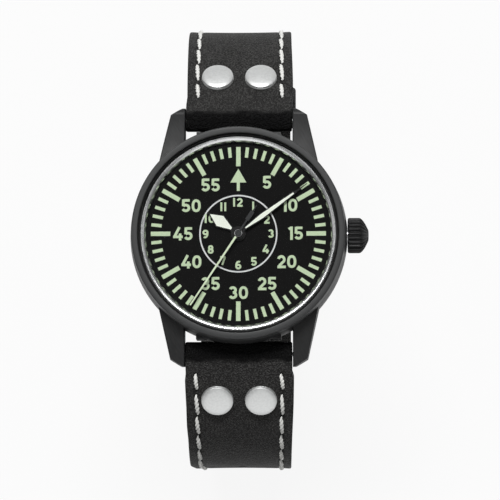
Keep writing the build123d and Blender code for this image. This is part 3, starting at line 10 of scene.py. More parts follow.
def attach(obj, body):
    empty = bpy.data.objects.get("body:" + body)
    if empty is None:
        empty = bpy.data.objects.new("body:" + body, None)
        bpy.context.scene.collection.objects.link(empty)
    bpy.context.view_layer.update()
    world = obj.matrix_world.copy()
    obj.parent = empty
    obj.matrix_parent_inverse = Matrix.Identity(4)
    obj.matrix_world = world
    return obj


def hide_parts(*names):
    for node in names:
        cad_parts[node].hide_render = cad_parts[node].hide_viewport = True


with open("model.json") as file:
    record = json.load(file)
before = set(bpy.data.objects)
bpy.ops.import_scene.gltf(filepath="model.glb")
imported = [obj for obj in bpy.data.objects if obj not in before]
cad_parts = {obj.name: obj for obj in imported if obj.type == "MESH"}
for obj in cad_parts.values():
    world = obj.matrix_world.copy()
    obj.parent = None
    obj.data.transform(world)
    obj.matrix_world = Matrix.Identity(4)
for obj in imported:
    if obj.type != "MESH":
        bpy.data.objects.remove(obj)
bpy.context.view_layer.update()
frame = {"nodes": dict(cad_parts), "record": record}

# Sizes are in millimetres, in the CAD's own frame: +Z out of the dial, +X to 3 o'clock, +Y to 12 o'clock
mm = 0.001

# Case
case_radius = 20.25
case_top_radius = 19.85
case_low = 0.6
case_corner_width = 1.8
case_corner_height = 2.4
corner_bulge_share = 0.42
case_high = 8.4
cavity_radius = 15.5
back_bore = 16.59
back_seat = 2.55
plate_high = 7.6
bezel_top = 10.5
bezel_top_radius = 19.65
bezel_inner_radius = 18.5
bezel_bore = 18.99
collar_radius = 18.95
glass_low = 9.3
glass_high = 10.7
glass_radius = 18.15
glass_bevel = 0.2
seal_high = 9.9
dial_top = 8.0
flange_low_radius = 16.94
flange_high_radius = 17.9
flange_play = 0.04
flange_land = 0.1
flange_foot = 0.05

# Lugs and the blocks between them. A lug's root, knee and tip are places x, y on its outer side.
strap_width = 20.0
bar_reach = 21.9
bar_height = 3.0
bar_hole_radius = 0.44
bar_hole_ends = (9.0, 15.0)
block_width = 15.7
block_start = 17.5
block_reach = 19.3
block_low = 1.6
block_high = 6.2
block_edge = 0.2
lug_root = (15.06, 12.0)
lug_knee = (12.62, 22.8)
lug_tip = (10.4, 24.2)
lug_steps = 22
lug_flare = 0.25
lug_root_top = 7.6
lug_tip_top = 4.7
lug_low = 0.7
lug_low_rise = 0.9
lug_tip_radius = 1.3
lug_edge = 0.22
lug_edge_share = 0.45

# Roundings of the turned outlines' edges
keen_edge = 0.05
case_low_edge = 0.2
case_corner_edges = (1.2, 1.0)
case_top_edge = 0.1
case_bore_edge = 0.15
bezel_outer_edge = 0.3
bezel_inner_edge = 0.18
seal_edge = 0.08

# Dial print
print_height = 0.05
half_stroke = 0.099
minute_number_height = 2.47
minute_number_gap = 0.16
hour_number_height = 1.62
hour_number_gap = 0.3
hour_number_weight = 1.12
circle_inner_radius = 6.94
circle_outer_radius = 7.22
circle_edge = 0.02
circle_height = 0.03

# Crown
stem_height = 4.6
crown_radius = 3.3
crown_start = 20.2
crown_grip = 2.1
crown_grip_start = 0.4
crown_length = 3.85
crown_cap = 0.05
crown_flutes = 24
crown_edge = 0.35
crown_end_share = 0.28
crown_end_power = 1.75
crown_pocket_radius = 2.0
crown_pocket_depth = 1.6
flute_depth = 0.42
flute_power = 1.3
flute_run_in = 0.3
flute_start_share = 0.2
flute_fade_share = 0.55

# Strap, with a half width at the lugs, where it turns down, and at its end
strap_eye_radius = 2.2
strap_start_turn = radians(14.0)
strap_bend_radius = 26.2
strap_foot_radius = 24.0
strap_thickness = 3.3
strap_bend_thickness = 2.5
strap_tip_thickness = 2.2
strap_half_widths = (9.9, 9.648, 9.3)
strap_edge = 0.34
strap_dip = 0.16
strap_swell = 1.05
swell_start = 7
swell_rise = 19
swell_end = 48
swell_fall = 21
short_drop = 6.0
short_tail = 2.0
long_flat = 5.0
long_curl_radius = 18.0
long_curl_turn = radians(58.0)
tip_point_length = 6.0
tip_point_half = 3.5
tip_point_power = 1.6
end_round = 1.0
floor_level = -54.78
bar_bore = 0.94
end_eye_radius = 1.7
end_eye_bore = 0.79
tongue_slot_width = 4.0
tongue_slot_length = 5.5
tongue_slot_past = 1.0
tongue_slot_corner = 0.5
slot_cutter_reach = 4.0
hole_pitch = 6.5
hole_count = 7
hole_radius = 1.0
hole_end = 26.0
hole_cutter_reach = 3.0

# The fold round the spring bar, from below the bar to the crease on the outer side: a front that leans
# in under a rounded shoulder. Each corner is a place from the bar and its rounding.
fold_corners = (
    (1.9, -1.5, 0.3), (0.9, -2.05, 0.6), (-0.9, -2.0, 0.8), (-1.75, -0.9, 0.5), (-2.15, 0.3, 0.5),
    (-2.25, 1.15, 0.35), (-1.9, 1.75, 0.35), (-0.7, 2.0, 0.8), (0.9, 2.2, 0.3),
)
fold_core = 2.7
fold_crease = 0.8
# The painted shade on the fold ends along a wavy line near the crease and fades out over a distance.
painted_shade_wave = 0.15
painted_shade_ripple = 0.08
painted_shade_fade = 0.4
along_step = 0.4

# Rivets. The rim's corners are each a share of the radius, a height and a rounding.
rivet_radius = 3.0
rivet_height = 1.12
rivet_dome = 0.3
rivet_face_share = 0.84
rivet_rim = (
    (0.84, 0.88, 0.2), (0.985, 0.7, 0.25), (0.965, 0.42, 0.12),
    (1, 0.3, 0.12), (1, 0.02, 0.08), (0.9, 0, 0.05),
)
rivet_seat = 0.25
rivet_shank_radius = 0.9
rivet_cap_radius = 1.8
rivet_cap_height = 0.35
cap_side_share = 0.6
cap_face_share = 0.8
rivet_x = 4.05
rivet_reach = 30.4

# Stitches
stitch_inset = 1.95
stitch_width = 0.7
stitch_rise = 0.13
stitch_root = 0.45
stitch_tuck = 0.12
stitch_lean = 0.3
stitch_stray = 0.03
stitch_end_share = 0.45
stitch_flat_share = 0.8
twist_share = 0.2
twist_half_turns = 5
first_stitch_length = 2.9
needle_gap = 0.55
groove_depth = 0.14
groove_width = 0.5
groove_past = 0.3
needle_hole_depth = 0.32
needle_hole_length = 0.3
needle_hole_width = 0.36

# Keepers and buckle
keeper_length = 6.0
keeper_wall = 0.75
keeper_low = -1.7
keeper_high = 4.35
keeper_half_width = 9.68
keeper_inner_corner = 0.5
keeper_outer_corner = 1.4
keeper_edge = 0.36
keeper_edge_share = 0.28
fixed_keeper_turn = radians(80.0)
free_keeper_turn = radians(52.0)
buckle_spot = (15.894, -49.037, radians(166.0))
buckle_inner_half = 9.9
buckle_outer_half = 12.0
buckle_back = -2.0
buckle_inner_end = 8.0
buckle_outer_end = 11.5
buckle_thickness = 2.2
buckle_inner_corner = 0.7
buckle_outer_corner = 3.0
buckle_end_edge = 0.1
buckle_edge = 0.75
buckle_edge_share = 0.35
buckle_notch_half = 1.15
buckle_notch_floor = 0.75
buckle_notch_stops = (-1.3, -1.05, 1.05, 1.3)
buckle_notch_edge = 0.02

# Camera: it looks down on the dial, a little from 6 o'clock and from 3 o'clock
camera_distance = 480.0
camera_tilt_x = radians(1.25)
camera_tilt_y = radians(6.75)
camera_aim = (2.15, -3.04, dial_top)
frame_width = 92.1
sensor_width = 36.0

# Studio. Each lamp has its name, direction and height in degrees, size in metres and power in watts.
floor_reach = 3.0
floor_roughness = 0.9
room_light = 0.14
band_start = 0.55
band_end = 0.85
lamps = (
    ("key_lamp", 96, 60, (0.6, 0.22), 8.4),
    ("near_lamp", -90, 62, (0.6, 0.3), 0.7),
    ("left_lamp", 178, 38, (0.3, 0.7), 0.35),
    ("right_lamp", 2, 38, (0.3, 0.7), 0.35),
)


def placed(name, data):
    """A new object of the scene that holds some data."""
    holder = bpy.data.objects.new(name, data)
    bpy.context.scene.collection.objects.link(holder)
    return holder


def place_camera():
    """The camera stands back from its aim along a line with two small tilts. Its focal length is the
    sensor's width times the distance, over the width of the frame at the aim."""
    data = bpy.data.cameras.new("camera")
    data.sensor_width = sensor_width
    data.lens = sensor_width * camera_distance / frame_width
    camera = placed("camera", data)
    back = Vector((sin(camera_tilt_x), -sin(camera_tilt_y), 1)).normalized()
    side = Vector((0, 1, 0)).cross(back).normalized()
    spot = (Vector(camera_aim) + back * camera_distance) * mm
    turn = Matrix((side, back.cross(side), back)).transposed().to_4x4()
    camera.matrix_world = Matrix.Translation(spot) @ turn
    bpy.context.scene.camera = camera


place_camera()


# Surfaces

def quads(rows, columns, wrap_rows, wrap_columns):
    """The corners of every quad of a grid, joining the last row or column to the first where it wraps."""
    row = np.arange(rows if wrap_rows else rows - 1)
    column = np.arange(columns if wrap_columns else columns - 1)
    one, other = np.meshgrid(row, column, indexing="ij")
    next_row, next_column = (one + 1) % rows, (other + 1) % columns
    corners = [one * columns + other, next_row * columns + other,
               next_row * columns + next_column, one * columns + next_column]
    return np.stack(corners, axis=-1).reshape(-1, 4)


def clean(mesh):
    """Joins places that coincide, drops faces that have shrunk to nothing and turns all faces outwards."""
    shape = bmesh.new()
    shape.from_mesh(mesh)
    bmesh.ops.remove_doubles(shape, verts=shape.verts, dist=2e-7)
    bmesh.ops.dissolve_degenerate(shape, edges=shape.edges, dist=1e-7)
    bmesh.ops.recalc_face_normals(shape, faces=shape.faces)
    shape.to_mesh(mesh)
    shape.free()


def grid_mesh(name, grids, wrap_rows, wrap_columns, edge_paint_and_painted_shade=None):
    """A mesh of one or more grids of places, each an array of rows, columns and x, y, z in millimetres.
    The last argument, where given, is an array of one value for each place, kept as an attribute for the
    finish: on the strap it holds black edge paint and painted shade."""
    grids = grids if isinstance(grids, list) else [grids]
    places, faces, count = [], [], 0
    for grid in grids:
        rows, columns = grid.shape[:2]
        faces.append(quads(rows, columns, wrap_rows, wrap_columns) + count)
        places.append(grid.reshape(-1, 3))
        count += rows * columns
    mesh = bpy.data.meshes.new(name)
    mesh.from_pydata((np.concatenate(places) * mm).tolist(), [], np.concatenate(faces).tolist())
    if edge_paint_and_painted_shade is not None:
        mesh.attributes.new("edge_paint_and_painted_shade", "FLOAT", "POINT").data.foreach_set("value", edge_paint_and_painted_shade.reshape(-1))
    clean(mesh)
    return mesh


def smooth(mesh, sharp):
    """Shades a mesh smooth, and keeps the edges sharp that turn by more than an angle in degrees."""
    mesh.polygons.foreach_set("use_smooth", np.ones(len(mesh.polygons), dtype=bool))
    mesh.set_sharp_from_angle(angle=radians(sharp))


def make(name, grids, material, body, stands_for=None, rows=False, columns=False, sharp=40,
         edge_paint_and_painted_shade=None):
    """A piece of grids that rides on a body, with its finish and the node it stands for."""
    mesh = grid_mesh(name, grids, rows, columns, edge_paint_and_painted_shade)
    smooth(mesh, sharp)
    mesh.materials.append(material)
    piece = placed(name, mesh)
    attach(piece, body)
    if stands_for:
        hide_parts(stands_for)
    return piece


def rounded(corners, steps=5, closed=True):
    """An outline of corners, each an x, a y and a rounding r, with a quadratic curve at each: its place
    at t is (1-t)^2 A + 2t(1-t) C + t^2 B, where C is the corner, and A and B lie r from it."""
    corners, radii = np.split(np.array(corners, dtype=float), [2], axis=1)
    lead, trail = np.roll(corners, 1, axis=0) - corners, np.roll(corners, -1, axis=0) - corners
    lead_length = np.linalg.norm(lead, axis=1, keepdims=True)
    trail_length = np.linalg.norm(trail, axis=1, keepdims=True)
    reach = np.minimum(radii, np.minimum(lead_length, trail_length) / 2)
    start = corners + lead / lead_length * reach
    end = corners + trail / trail_length * reach
    t = np.linspace(0, 1, steps)[None, :, None]
    curve = (1 - t) ** 2 * start[:, None] + 2 * t * (1 - t) * corners[:, None] + t**2 * end[:, None]
    if not closed:
        curve[0], curve[-1] = corners[0], corners[-1]
    return curve.reshape(-1, 2)


def rounded_box(left, right, low, high, across, up, steps=6):
    """Four-sided rings with round corners, one for each value of its sides: a corner's place is its
    centre, in from the sides by across and up, plus across times cos a and up times sin a."""
    sides = np.broadcast_arrays(left, right, low, high)
    left, right, low, high = (np.atleast_1d(side)[:, None] for side in sides)
    a = np.linspace(0, pi / 2, steps)[None, :]
    one, other = across * np.cos(a), up * np.sin(a)
    more, less = across * np.sin(a), up * np.cos(a)
    u = [right - across + one, left + across - more, left + across - one, right - across + more]
    v = [high - up + other, high - up + less, low + up - other, low + up - less]
    return np.concatenate(u, axis=1), np.concatenate(v, axis=1)


def capped(rings):
    """Rings with their first and last drawn together to a point, which closes both ends."""
    first, last = (ring.mean(axis=1, keepdims=True) + 0 * ring for ring in (rings[:1], rings[-1:]))
    return np.concatenate([first, rings, last])


def turned(outline, segments=256):
    """A turned surface: an outline's point (r, z) goes to (r cos a, r sin a, z) all the way round."""
    outline = np.array(outline, dtype=float)
    a = np.linspace(0, 2 * pi, segments, endpoint=False)[:, None]
    r, z = outline[None, :, 0], outline[None, :, 1]
    return np.stack([r * np.cos(a), r * np.sin(a), z + 0 * a], axis=-1)


def cut(piece, grids, sharp):
    """Takes closed grids, wrapped across their columns, out of a piece."""
    cutter = placed("cutter", grid_mesh("cutter", grids, False, True))
    tool = piece.modifiers.new("cut", "BOOLEAN")
    tool.object = cutter
    tool.operation = "DIFFERENCE"
    tool.solver = "EXACT"
    bpy.context.view_layer.update()
    done = bpy.data.meshes.new_from_object(piece.evaluated_get(bpy.context.evaluated_depsgraph_get()))
    piece.modifiers.clear()
    piece.data = done
    smooth(done, sharp)
    bpy.data.objects.remove(cutter)


def bar_along_x(y, z, radius, start, end, segments=40):
    """A closed round bar along X: each ring is (x, y + r cos a, z + r sin a)."""
    a = np.linspace(0, 2 * pi, segments, endpoint=False)[None, :]
    x = np.array([start, end], dtype=float)[:, None]
    return capped(np.stack(np.broadcast_arrays(x, y + radius * np.cos(a), z + radius * np.sin(a)), axis=-1))


# Materials

def grey(value):
    """A grey as a colour with full cover."""
    return (value, value, value, 1)


class Shading:
    """The shading nodes of a material or of the world. What goes into a node's input is a number, a
    colour, or another node's output."""

    def __init__(self, owner):
        owner.use_nodes = True
        self.owner = owner
        self.nodes = owner.node_tree.nodes
        self.links = owner.node_tree.links

    def fill(self, node, inputs):
        """Sets or links a node's inputs, each given by its name or its place."""
        for name, value in inputs.items():
            if isinstance(value, bpy.types.NodeSocket):
                self.links.new(value, node.inputs[name])
            else:
                node.inputs[name].default_value = value
        return node

    def add(self, kind, inputs=None):
        """A new node of a kind."""
        return self.fill(self.nodes.new("ShaderNode" + kind), inputs or {})

    def place(self):
        """The place that is shaded, in the part's own frame."""
        return self.add("TexCoord").outputs["Object"]

    def noise(self, place, scale, detail=4.0, stretch=None):
        """Noise of a scale per metre, stretched along the axes where asked."""
        if stretch:
            place = self.add("Mapping", {"Vector": place, "Scale": stretch}).outputs["Vector"]
        return self.add("TexNoise", {"Vector": place, "Scale": scale, "Detail": detail}).outputs["Fac"]

    def tilted(self, place, turn):
        """A place turned by three angles, so that a grain on it runs aslant."""
        return self.add("Mapping", {"Vector": place, "Rotation": turn}).outputs["Vector"]

    def ramp(self, value, low, high, start=0.3, end=0.7):
        """A value turned into a colour between two ends, each of them red, green and blue."""
        node = self.add("ValToRGB", {"Fac": value})
        for n, place, colour in ((0, start, low), (1, end, high)):
            node.color_ramp.elements[n].position = place
            node.color_ramp.elements[n].color = (*colour[:3], 1)
        return node.outputs["Color"]

    def greys(self, value, low, high):
        """A value turned into a grey between two ends."""
        return self.ramp(value, grey(low), grey(high))

    def bump(self, value, strength, distance, below=None):
        """The shading raised by a value, over a distance in metres, on top of another bump where given."""
        inputs = {"Strength": strength, "Distance": distance, "Height": value}
        if below:
            inputs["Normal"] = below
        return self.add("Bump", inputs).outputs["Normal"]

    def mixed(self, share, one, other, way="MIX"):
        """Two colours mixed by a share, or joined in another way."""
        node = self.add("Mix")
        node.data_type = "RGBA"
        node.blend_type = way
        return self.fill(node, {"Factor": share, 6: one, 7: other}).outputs[2]

    def joined(self, operation, one, other):
        """Two values joined by an operation."""
        node = self.add("Math")
        node.operation = operation
        return self.fill(node, {0: one, 1: other}).outputs[0]

    def shade(self, inputs):
        """Fills the main shader, and gives the material."""
        self.fill(self.nodes["Principled BSDF"], inputs)
        return self.owner


def new_shading(name):
    """The shading nodes of a new material."""
    return Shading(bpy.data.materials.new(name))


def round_axis(tree, place):
    """A place as its reach from the hands' axis and its height, so that a grain on it runs in circles."""
    split = tree.add("SeparateXYZ", {0: place}).outputs
    flat = tree.add("CombineXYZ", {"X": split["X"], "Y": split["Y"]})
    reach = tree.add("VectorMath")
    reach.operation = "LENGTH"
    tree.fill(reach, {0: flat.outputs[0]})
    return tree.add("CombineXYZ", {"X": reach.outputs["Value"], "Z": split["Z"]}).outputs[0]


def aslant(tree, place):
    """A place turned so that a grain on it runs in slanting lines over the lugs."""
    return tree.tilted(place, (0, 0, radians(-28)))


def brushed_steel(name, low, high, roughness, way, brush, wear, lift, others):
    """Steel with fine brush marks that run one way, under a soft cloudy wear. Brush is the marks' scale,
    detail and stretch, and wear is the clouds' scale and detail and how far they roughen the steel."""
    tree = new_shading(name)
    place = tree.place()
    marks = tree.noise(way(tree, place), *brush)
    clouds = tree.noise(place, *wear[:2])
    return tree.shade({
        "Base Color": tree.ramp(marks, low, high),
        "Roughness": tree.greys(clouds, roughness - 0.04, roughness + wear[2]),
        "Normal": tree.bump(marks, lift, 0.00001), **others,
    })


def black_coating(name, low, high, roughness, specular):
    """Black coated steel, brushed in fine arcs round the hands' axis."""
    return brushed_steel(name, low, high, roughness, round_axis, (9000.0, 2.0), (320.0, 5.0, 0.05), 0.35,
                         {"Specular IOR Level": specular})


def grained(name, low, high, roughness, spread, grain, lift, others):
    """A finish with a grain that varies its colour, its roughness and its shading. Grain is the noise's
    scale, detail and stretch."""
    tree = new_shading(name)
    value = tree.noise(tree.place(), *grain)
    return tree.shade({
        "Base Color": tree.ramp(value, low, high),
        "Roughness": tree.greys(value, roughness - spread, roughness + spread),
        "Normal": tree.bump(value, lift, 0.00002), **others,
    })


def metal(name, colour, roughness, grain, stretch=None, spread=0.06, metallic=1.0, lift=0.05):
    """A metal, a little darker and lighter along its grain."""
    low, high = (tuple(min(1, part * share) for part in colour) for share in (0.92, 1.06))
    return grained(name, low, high, roughness, spread, (grain, 3.0, stretch), lift, {"Metallic": metallic})


def paint(name, low, high, roughness, grain, lift=0.15, specular=0.3):
    """A matt paint, print, rubber or plastic with a fine grain."""
    return grained(name, low, high, roughness, 0.04, (grain,), lift, {"Specular IOR Level": specular})


def leather_finish():
    """Black calf leather: small rounded grain cells with fine pores and faint creases. Where the mesh's
    attribute rises it is darker and its grain is smooth: black edge paint on the sides, and painted shade
    on the fold round the bar and in the needle holes."""
    tree = new_shading("black_leather")
    place = tree.place()
    edge_paint_and_shade_share = tree.add("Attribute")
    edge_paint_and_shade_share.attribute_name = "edge_paint_and_painted_shade"
    edge_paint_and_shade_share = edge_paint_and_shade_share.outputs["Fac"]
    cells = tree.add("TexVoronoi")
    cells.feature = "SMOOTH_F1"
    tree.fill(cells, {"Scale": 3600.0, "Vector": place})
    broad = tree.noise(place, 240.0, 6.0)
    fine = tree.noise(place, 5200.0, 3.0)
    hide = tree.ramp(broad, (0.042, 0.0415, 0.0405), (0.06, 0.0593, 0.0578))
    pores = tree.ramp(cells.outputs["Distance"], grey(1.5), grey(0.4), 0.1, 0.55)
    grain = tree.mixed(1.0, hide, pores, "MULTIPLY")
    cell_bump = tree.bump(pores, 0.9, 0.00018)
    fine_bump = tree.bump(fine, 0.4, 0.00005, cell_bump)
    # Where the attribute rises, near-black is mixed in: edge paint on the sides, painted shade on the fold
    # and in the needle holes.
    return tree.shade({
        "Base Color": tree.mixed(edge_paint_and_shade_share, grain, (0.0035, 0.0035, 0.0036, 1)),
        "Roughness": tree.mixed(edge_paint_and_shade_share, tree.greys(broad, 0.5, 0.6), grey(0.62)),
        "Specular IOR Level": 0.08, "Normal": tree.bump(broad, 0.25, 0.0004, fine_bump),
    })


def thread_finish():
    """Waxed off-white thread, with slanting twists."""
    tree = new_shading("stitch_thread")
    slant = tree.tilted(tree.place(), (0.4, 0.3, radians(35)))
    wave = tree.add("TexWave", {"Scale": 900.0, "Distortion": 2.0, "Vector": slant}).outputs["Fac"]
    return tree.shade({
        "Base Color": tree.ramp(wave, (0.78, 0.78, 0.75), (0.95, 0.95, 0.92)),
        "Roughness": 0.75, "Specular IOR Level": 0.2, "Normal": tree.bump(wave, 0.5, 0.00006),
    })


def glass_finish():
    """Coated sapphire, so clear that only a trace of it shows."""
    tree = new_shading("crystal_glass")
    value = tree.noise(tree.place(), 90.0, 2.0)
    return tree.shade({
        "Base Color": tree.ramp(value, (0.02, 0.022, 0.024), (0.03, 0.032, 0.034)),
        "Roughness": tree.greys(value, 0.02, 0.04), "Alpha": 0.012,
    })


black_case = black_coating("black_coated_steel", (0.03, 0.031, 0.0315), (0.044, 0.045, 0.0455), 0.46, 0.35)
# The case's sides and the blocks between the lugs get a darker copy of the bezel's coating: painted shade.
black_flank_painted_shade = black_coating("black_coated_flank_painted_shade", (0.015, 0.0154, 0.0158), (0.024, 0.0245, 0.025), 0.46, 0.3)
# The lugs' coating is a darker copy of the bezel's, with slanting brush marks of its own: painted shade on
# the lugs.
black_lug_painted_shade = brushed_steel(
    "black_coated_lugs_painted_shade", (0.013, 0.0132, 0.0135), (0.022, 0.0223, 0.0227), 0.48, aslant,
    (700.0, 3.0, (10, 0.6, 2)), (320.0, 5.0, 0.05), 0.2, {"Specular IOR Level": 0.25},
)
# The crown's coating is a darker copy of the case's: painted shade on the crown's side.
black_crown_painted_shade = black_coating("black_coated_crown_painted_shade", (0.006, 0.006, 0.0064), (0.011, 0.011, 0.0114), 0.42, 0.25)
leather = leather_finish()
thread = thread_finish()
dial_lume = paint("luminous_paint", (0.52, 0.65, 0.42), (0.58, 0.71, 0.48), 0.6, 3500.0)
hand_lume = paint("hand_luminous_paint", (0.86, 0.91, 0.80), (0.91, 0.96, 0.85), 0.6, 3500.0)
seconds_lume = paint("seconds_luminous_paint", (0.66, 0.77, 0.54), (0.72, 0.83, 0.6), 0.6, 3500.0)
dial_black = paint("matt_black_dial", (0.006, 0.006, 0.006), (0.009, 0.009, 0.0088), 0.7, 5200.0, 0.2, 0.04)
hand_black = paint("matt_black_hand", (0.005, 0.005, 0.005), (0.009, 0.009, 0.009), 0.55, 2600.0, 0.15, 0.2)
seconds_grey = paint(
    "satin_grey_hand", (0.026, 0.027, 0.0285), (0.038, 0.039, 0.0405), 0.5, 2600.0, 0.15, 0.2,
)
white_print = paint("pale_grey_print", (0.66, 0.68, 0.68), (0.74, 0.76, 0.76), 0.5, 2500.0)
rubber = paint("black_rubber", (0.004, 0.004, 0.004), (0.007, 0.007, 0.007), 0.7, 1500.0, 0.15, 0.15)
flange_steel = brushed_steel(
    "satin_flange_steel", (0.64, 0.65, 0.65), (0.78, 0.79, 0.79), 0.26, round_axis,
    (7000.0, 2.0), (160.0, 2.0, 0.06), 0.08, {"Metallic": 1.0},
)
polished = metal("polished_steel", (0.80, 0.81, 0.82), 0.10, 260.0, (1, 1, 4), 0.04)
satin = metal("satin_steel", (0.66, 0.67, 0.665), 0.46, 2600.0, None, 0.05, 0.85, 0.2)
brushed = metal("brushed_steel", (0.56, 0.56, 0.57), 0.32, 900.0, (1, 12, 1), 0.08, 1.0, 0.15)
brass = metal("gilt_brass", (0.80, 0.60, 0.28), 0.28, 1500.0)
blued = metal("blued_steel", (0.04, 0.08, 0.32), 0.22, 1200.0)
plated = metal("plated_bridge", (0.66, 0.66, 0.64), 0.30, 700.0, (10, 1, 1), 0.08, 1.0, 0.2)
ruby = paint("ruby", (0.42, 0.01, 0.05), (0.55, 0.02, 0.08), 0.12, 900.0, 0.02, 0.5)
moulded = paint("moulded_ring", (0.05, 0.05, 0.05), (0.08, 0.08, 0.08), 0.55, 1400.0)
crystal_glass = glass_finish()

# The frame's own nodes keep their shapes and get a finish by their slot, or by their name
slot_finish = {
    "black_case": black_case, "black_hands": hand_black, "black_dial": dial_black, "luminous": dial_lume,
    "crystal": crystal_glass, "gasket": rubber, "polished_steel": polished, "steel": brushed,
    "satin_steel": satin, "movement_brass": brass, "movement_plate": plated, "ruby": ruby,
    "blued_steel": blued, "ring_plastic": moulded, "leather": leather,
}
node_finish = {
    "hour_hand_lume": hand_lume, "minute_hand_lume": hand_lume, "seconds_hand_lume": seconds_lume,
    "seconds_hand": seconds_grey,
}
for entry in frame["record"]["subparts"]:
    finish = node_finish.get(entry["node"], slot_finish[entry["material_slot"]])
    for holder in frame["nodes"][entry["node"]].material_slots:
        holder.material = finish


# Case: a turned body, four lugs and the two blocks between them

def make_ring(name, outline, material, stands_for=None):
    """A turned piece of the case, with a closed outline."""
    make(name, turned(outline), material, "case", stands_for, rows=True, columns=True)


case_outline = rounded([
    (case_radius - case_corner_width, case_low, case_low_edge),
    (case_radius - case_corner_width * corner_bulge_share, case_low + case_corner_height * corner_bulge_share,
     case_corner_edges[0]),
    (case_radius, case_low + case_corner_height, case_corner_edges[1]),
    (case_top_radius, case_high, case_top_edge), (collar_radius, case_high, keen_edge),
    (collar_radius, glass_low, keen_edge), (flange_high_radius + flange_play, glass_low, keen_edge),
    (flange_high_radius + flange_play, plate_high, keen_edge), (cavity_radius, plate_high, keen_edge),
    (cavity_radius, back_seat, keen_edge), (back_bore, back_seat, keen_edge),
    (back_bore, case_low, case_bore_edge),
])
make_ring("case_body", case_outline, black_flank_painted_shade, "mid_case")


def lug(side_x, side_y):
    """A lug: at each reach y a rounded four-sided ring between the flat inner face, the outer face x(y),
    the sloping top z(y), which bows up by a parabola, and the underside; both curl in at the tip, by
    r - sqrt(r^2 - d^2) at a distance d past the start of the curl. The outer face flares downwards."""
    sides, reaches = zip(lug_root, lug_knee, lug_tip)
    inner = strap_width / 2
    along = np.concatenate([np.linspace(reaches[0], reaches[1], lug_steps),
                            np.linspace(reaches[1], reaches[2], lug_steps)[1:]])
    outer = np.interp(along, reaches, sides)
    curl_start = reaches[2] - lug_tip_radius
    share = np.clip((along - reaches[0]) / (curl_start - reaches[0]), 0, 1)
    top = lug_root_top + (lug_tip_top - lug_root_top) * share + 2 * lug_tip_radius * share * (1 - share)
    low = lug_low + lug_low_rise * (1 - share)
    past = np.clip(along - curl_start, 0, lug_tip_radius)
    curl = lug_tip_radius - np.sqrt(lug_tip_radius**2 - past**2)
    edge = np.minimum(lug_edge, lug_edge_share * (outer - inner))[:, None]
    x, z = rounded_box(inner, outer, low + curl, top - curl, edge, lug_edge)
    x = x + lug_flare * (x - inner) / (outer[:, None] - inner) * (lug_root_top - z) / lug_root_top
    rings = np.stack([x, along[:, None] + 0 * x, z], axis=-1)
    return capped(rings) * np.array([side_x, side_y, 1])


def block(side_y):
    """The block between two lugs: a rounded four-sided ring carried along X."""
    x = np.array([-block_width / 2, block_width / 2])
    y, z = rounded_box(block_start + 0 * x, block_reach, block_low, block_high, block_edge, block_edge)
    return capped(np.stack([x[:, None] + 0 * y, side_y * y, z], axis=-1))


def bar_hole(side_x, side_y):
    """The hole for a spring bar's tip in the inner face of a lug."""
    start, end = (side_x * reach for reach in bar_hole_ends)
    return bar_along_x(side_y * bar_reach, bar_height, bar_hole_radius, start, end, 24)


corners_of_case = [(x, y) for x in (1, -1) for y in (1, -1)]
lugs = make("case_lugs", [lug(*corner) for corner in corners_of_case], black_lug_painted_shade, "case",
            columns=True, sharp=30)
cut(lugs, [bar_hole(*corner) for corner in corners_of_case], 30)
make("case_blocks", [block(1), block(-1)], black_flank_painted_shade, "case", columns=True, sharp=30)

# Bezel, crystal, gasket and the ring round the dial
bezel_outline = rounded([
    (case_top_radius, case_high, keen_edge), (bezel_top_radius, bezel_top, bezel_outer_edge),
    (bezel_inner_radius, bezel_top, bezel_inner_edge), (bezel_inner_radius, glass_low, keen_edge),
    (bezel_bore, glass_low, keen_edge), (bezel_bore, case_high, keen_edge),
])
make_ring("bezel_ring", bezel_outline, black_case, "bezel")

glass_outline = [
    (0, glass_high), (glass_radius - glass_bevel, glass_high), (glass_radius, glass_high - glass_bevel),
    (glass_radius, glass_low), (0, glass_low),
]
make("crystal_disc", turned(glass_outline), crystal_glass, "case", "crystal", rows=True)

seal_outline = rounded([
    (bezel_inner_radius, glass_low, seal_edge), (bezel_inner_radius, seal_high, seal_edge),
    (glass_radius, seal_high, seal_edge), (glass_radius, glass_low, seal_edge),
])
make_ring("crystal_seal", seal_outline, rubber, "crystal_gasket")


def flange_outline():
    """The ring's inner side bows out from the dial to the glass: r and z follow a quarter oval from the
    upright at the dial to the level at the glass."""
    t = np.linspace(0, pi / 2, 16)
    width = flange_high_radius - flange_low_radius - flange_land
    height = glass_low - dial_top - flange_foot
    bow = np.column_stack([
        flange_low_radius + width * (1 - np.cos(t)), dial_top + flange_foot + height * np.sin(t),
    ])
    return np.vstack([(flange_low_radius, dial_top), bow, (flange_high_radius, glass_low),
                      (flange_high_radius, dial_top)])


make_ring("flange_slope", flange_outline(), flange_steel, "flange_ring")


# Dial print: numerals drawn with a broad stroke, and the hour circle

def arc(centre, radii, start, end, steps=18, power=1.0):
    """Points of an oval arc, (x + a sgn(cos t)|cos t|^p, y + b sgn(sin t)|sin t|^p)."""
    t = np.radians(np.linspace(start, end, steps))
    turns = np.column_stack([np.cos(t), np.sin(t)])
    return np.array(centre) + np.array(radii) * np.sign(turns) * np.abs(turns) ** power


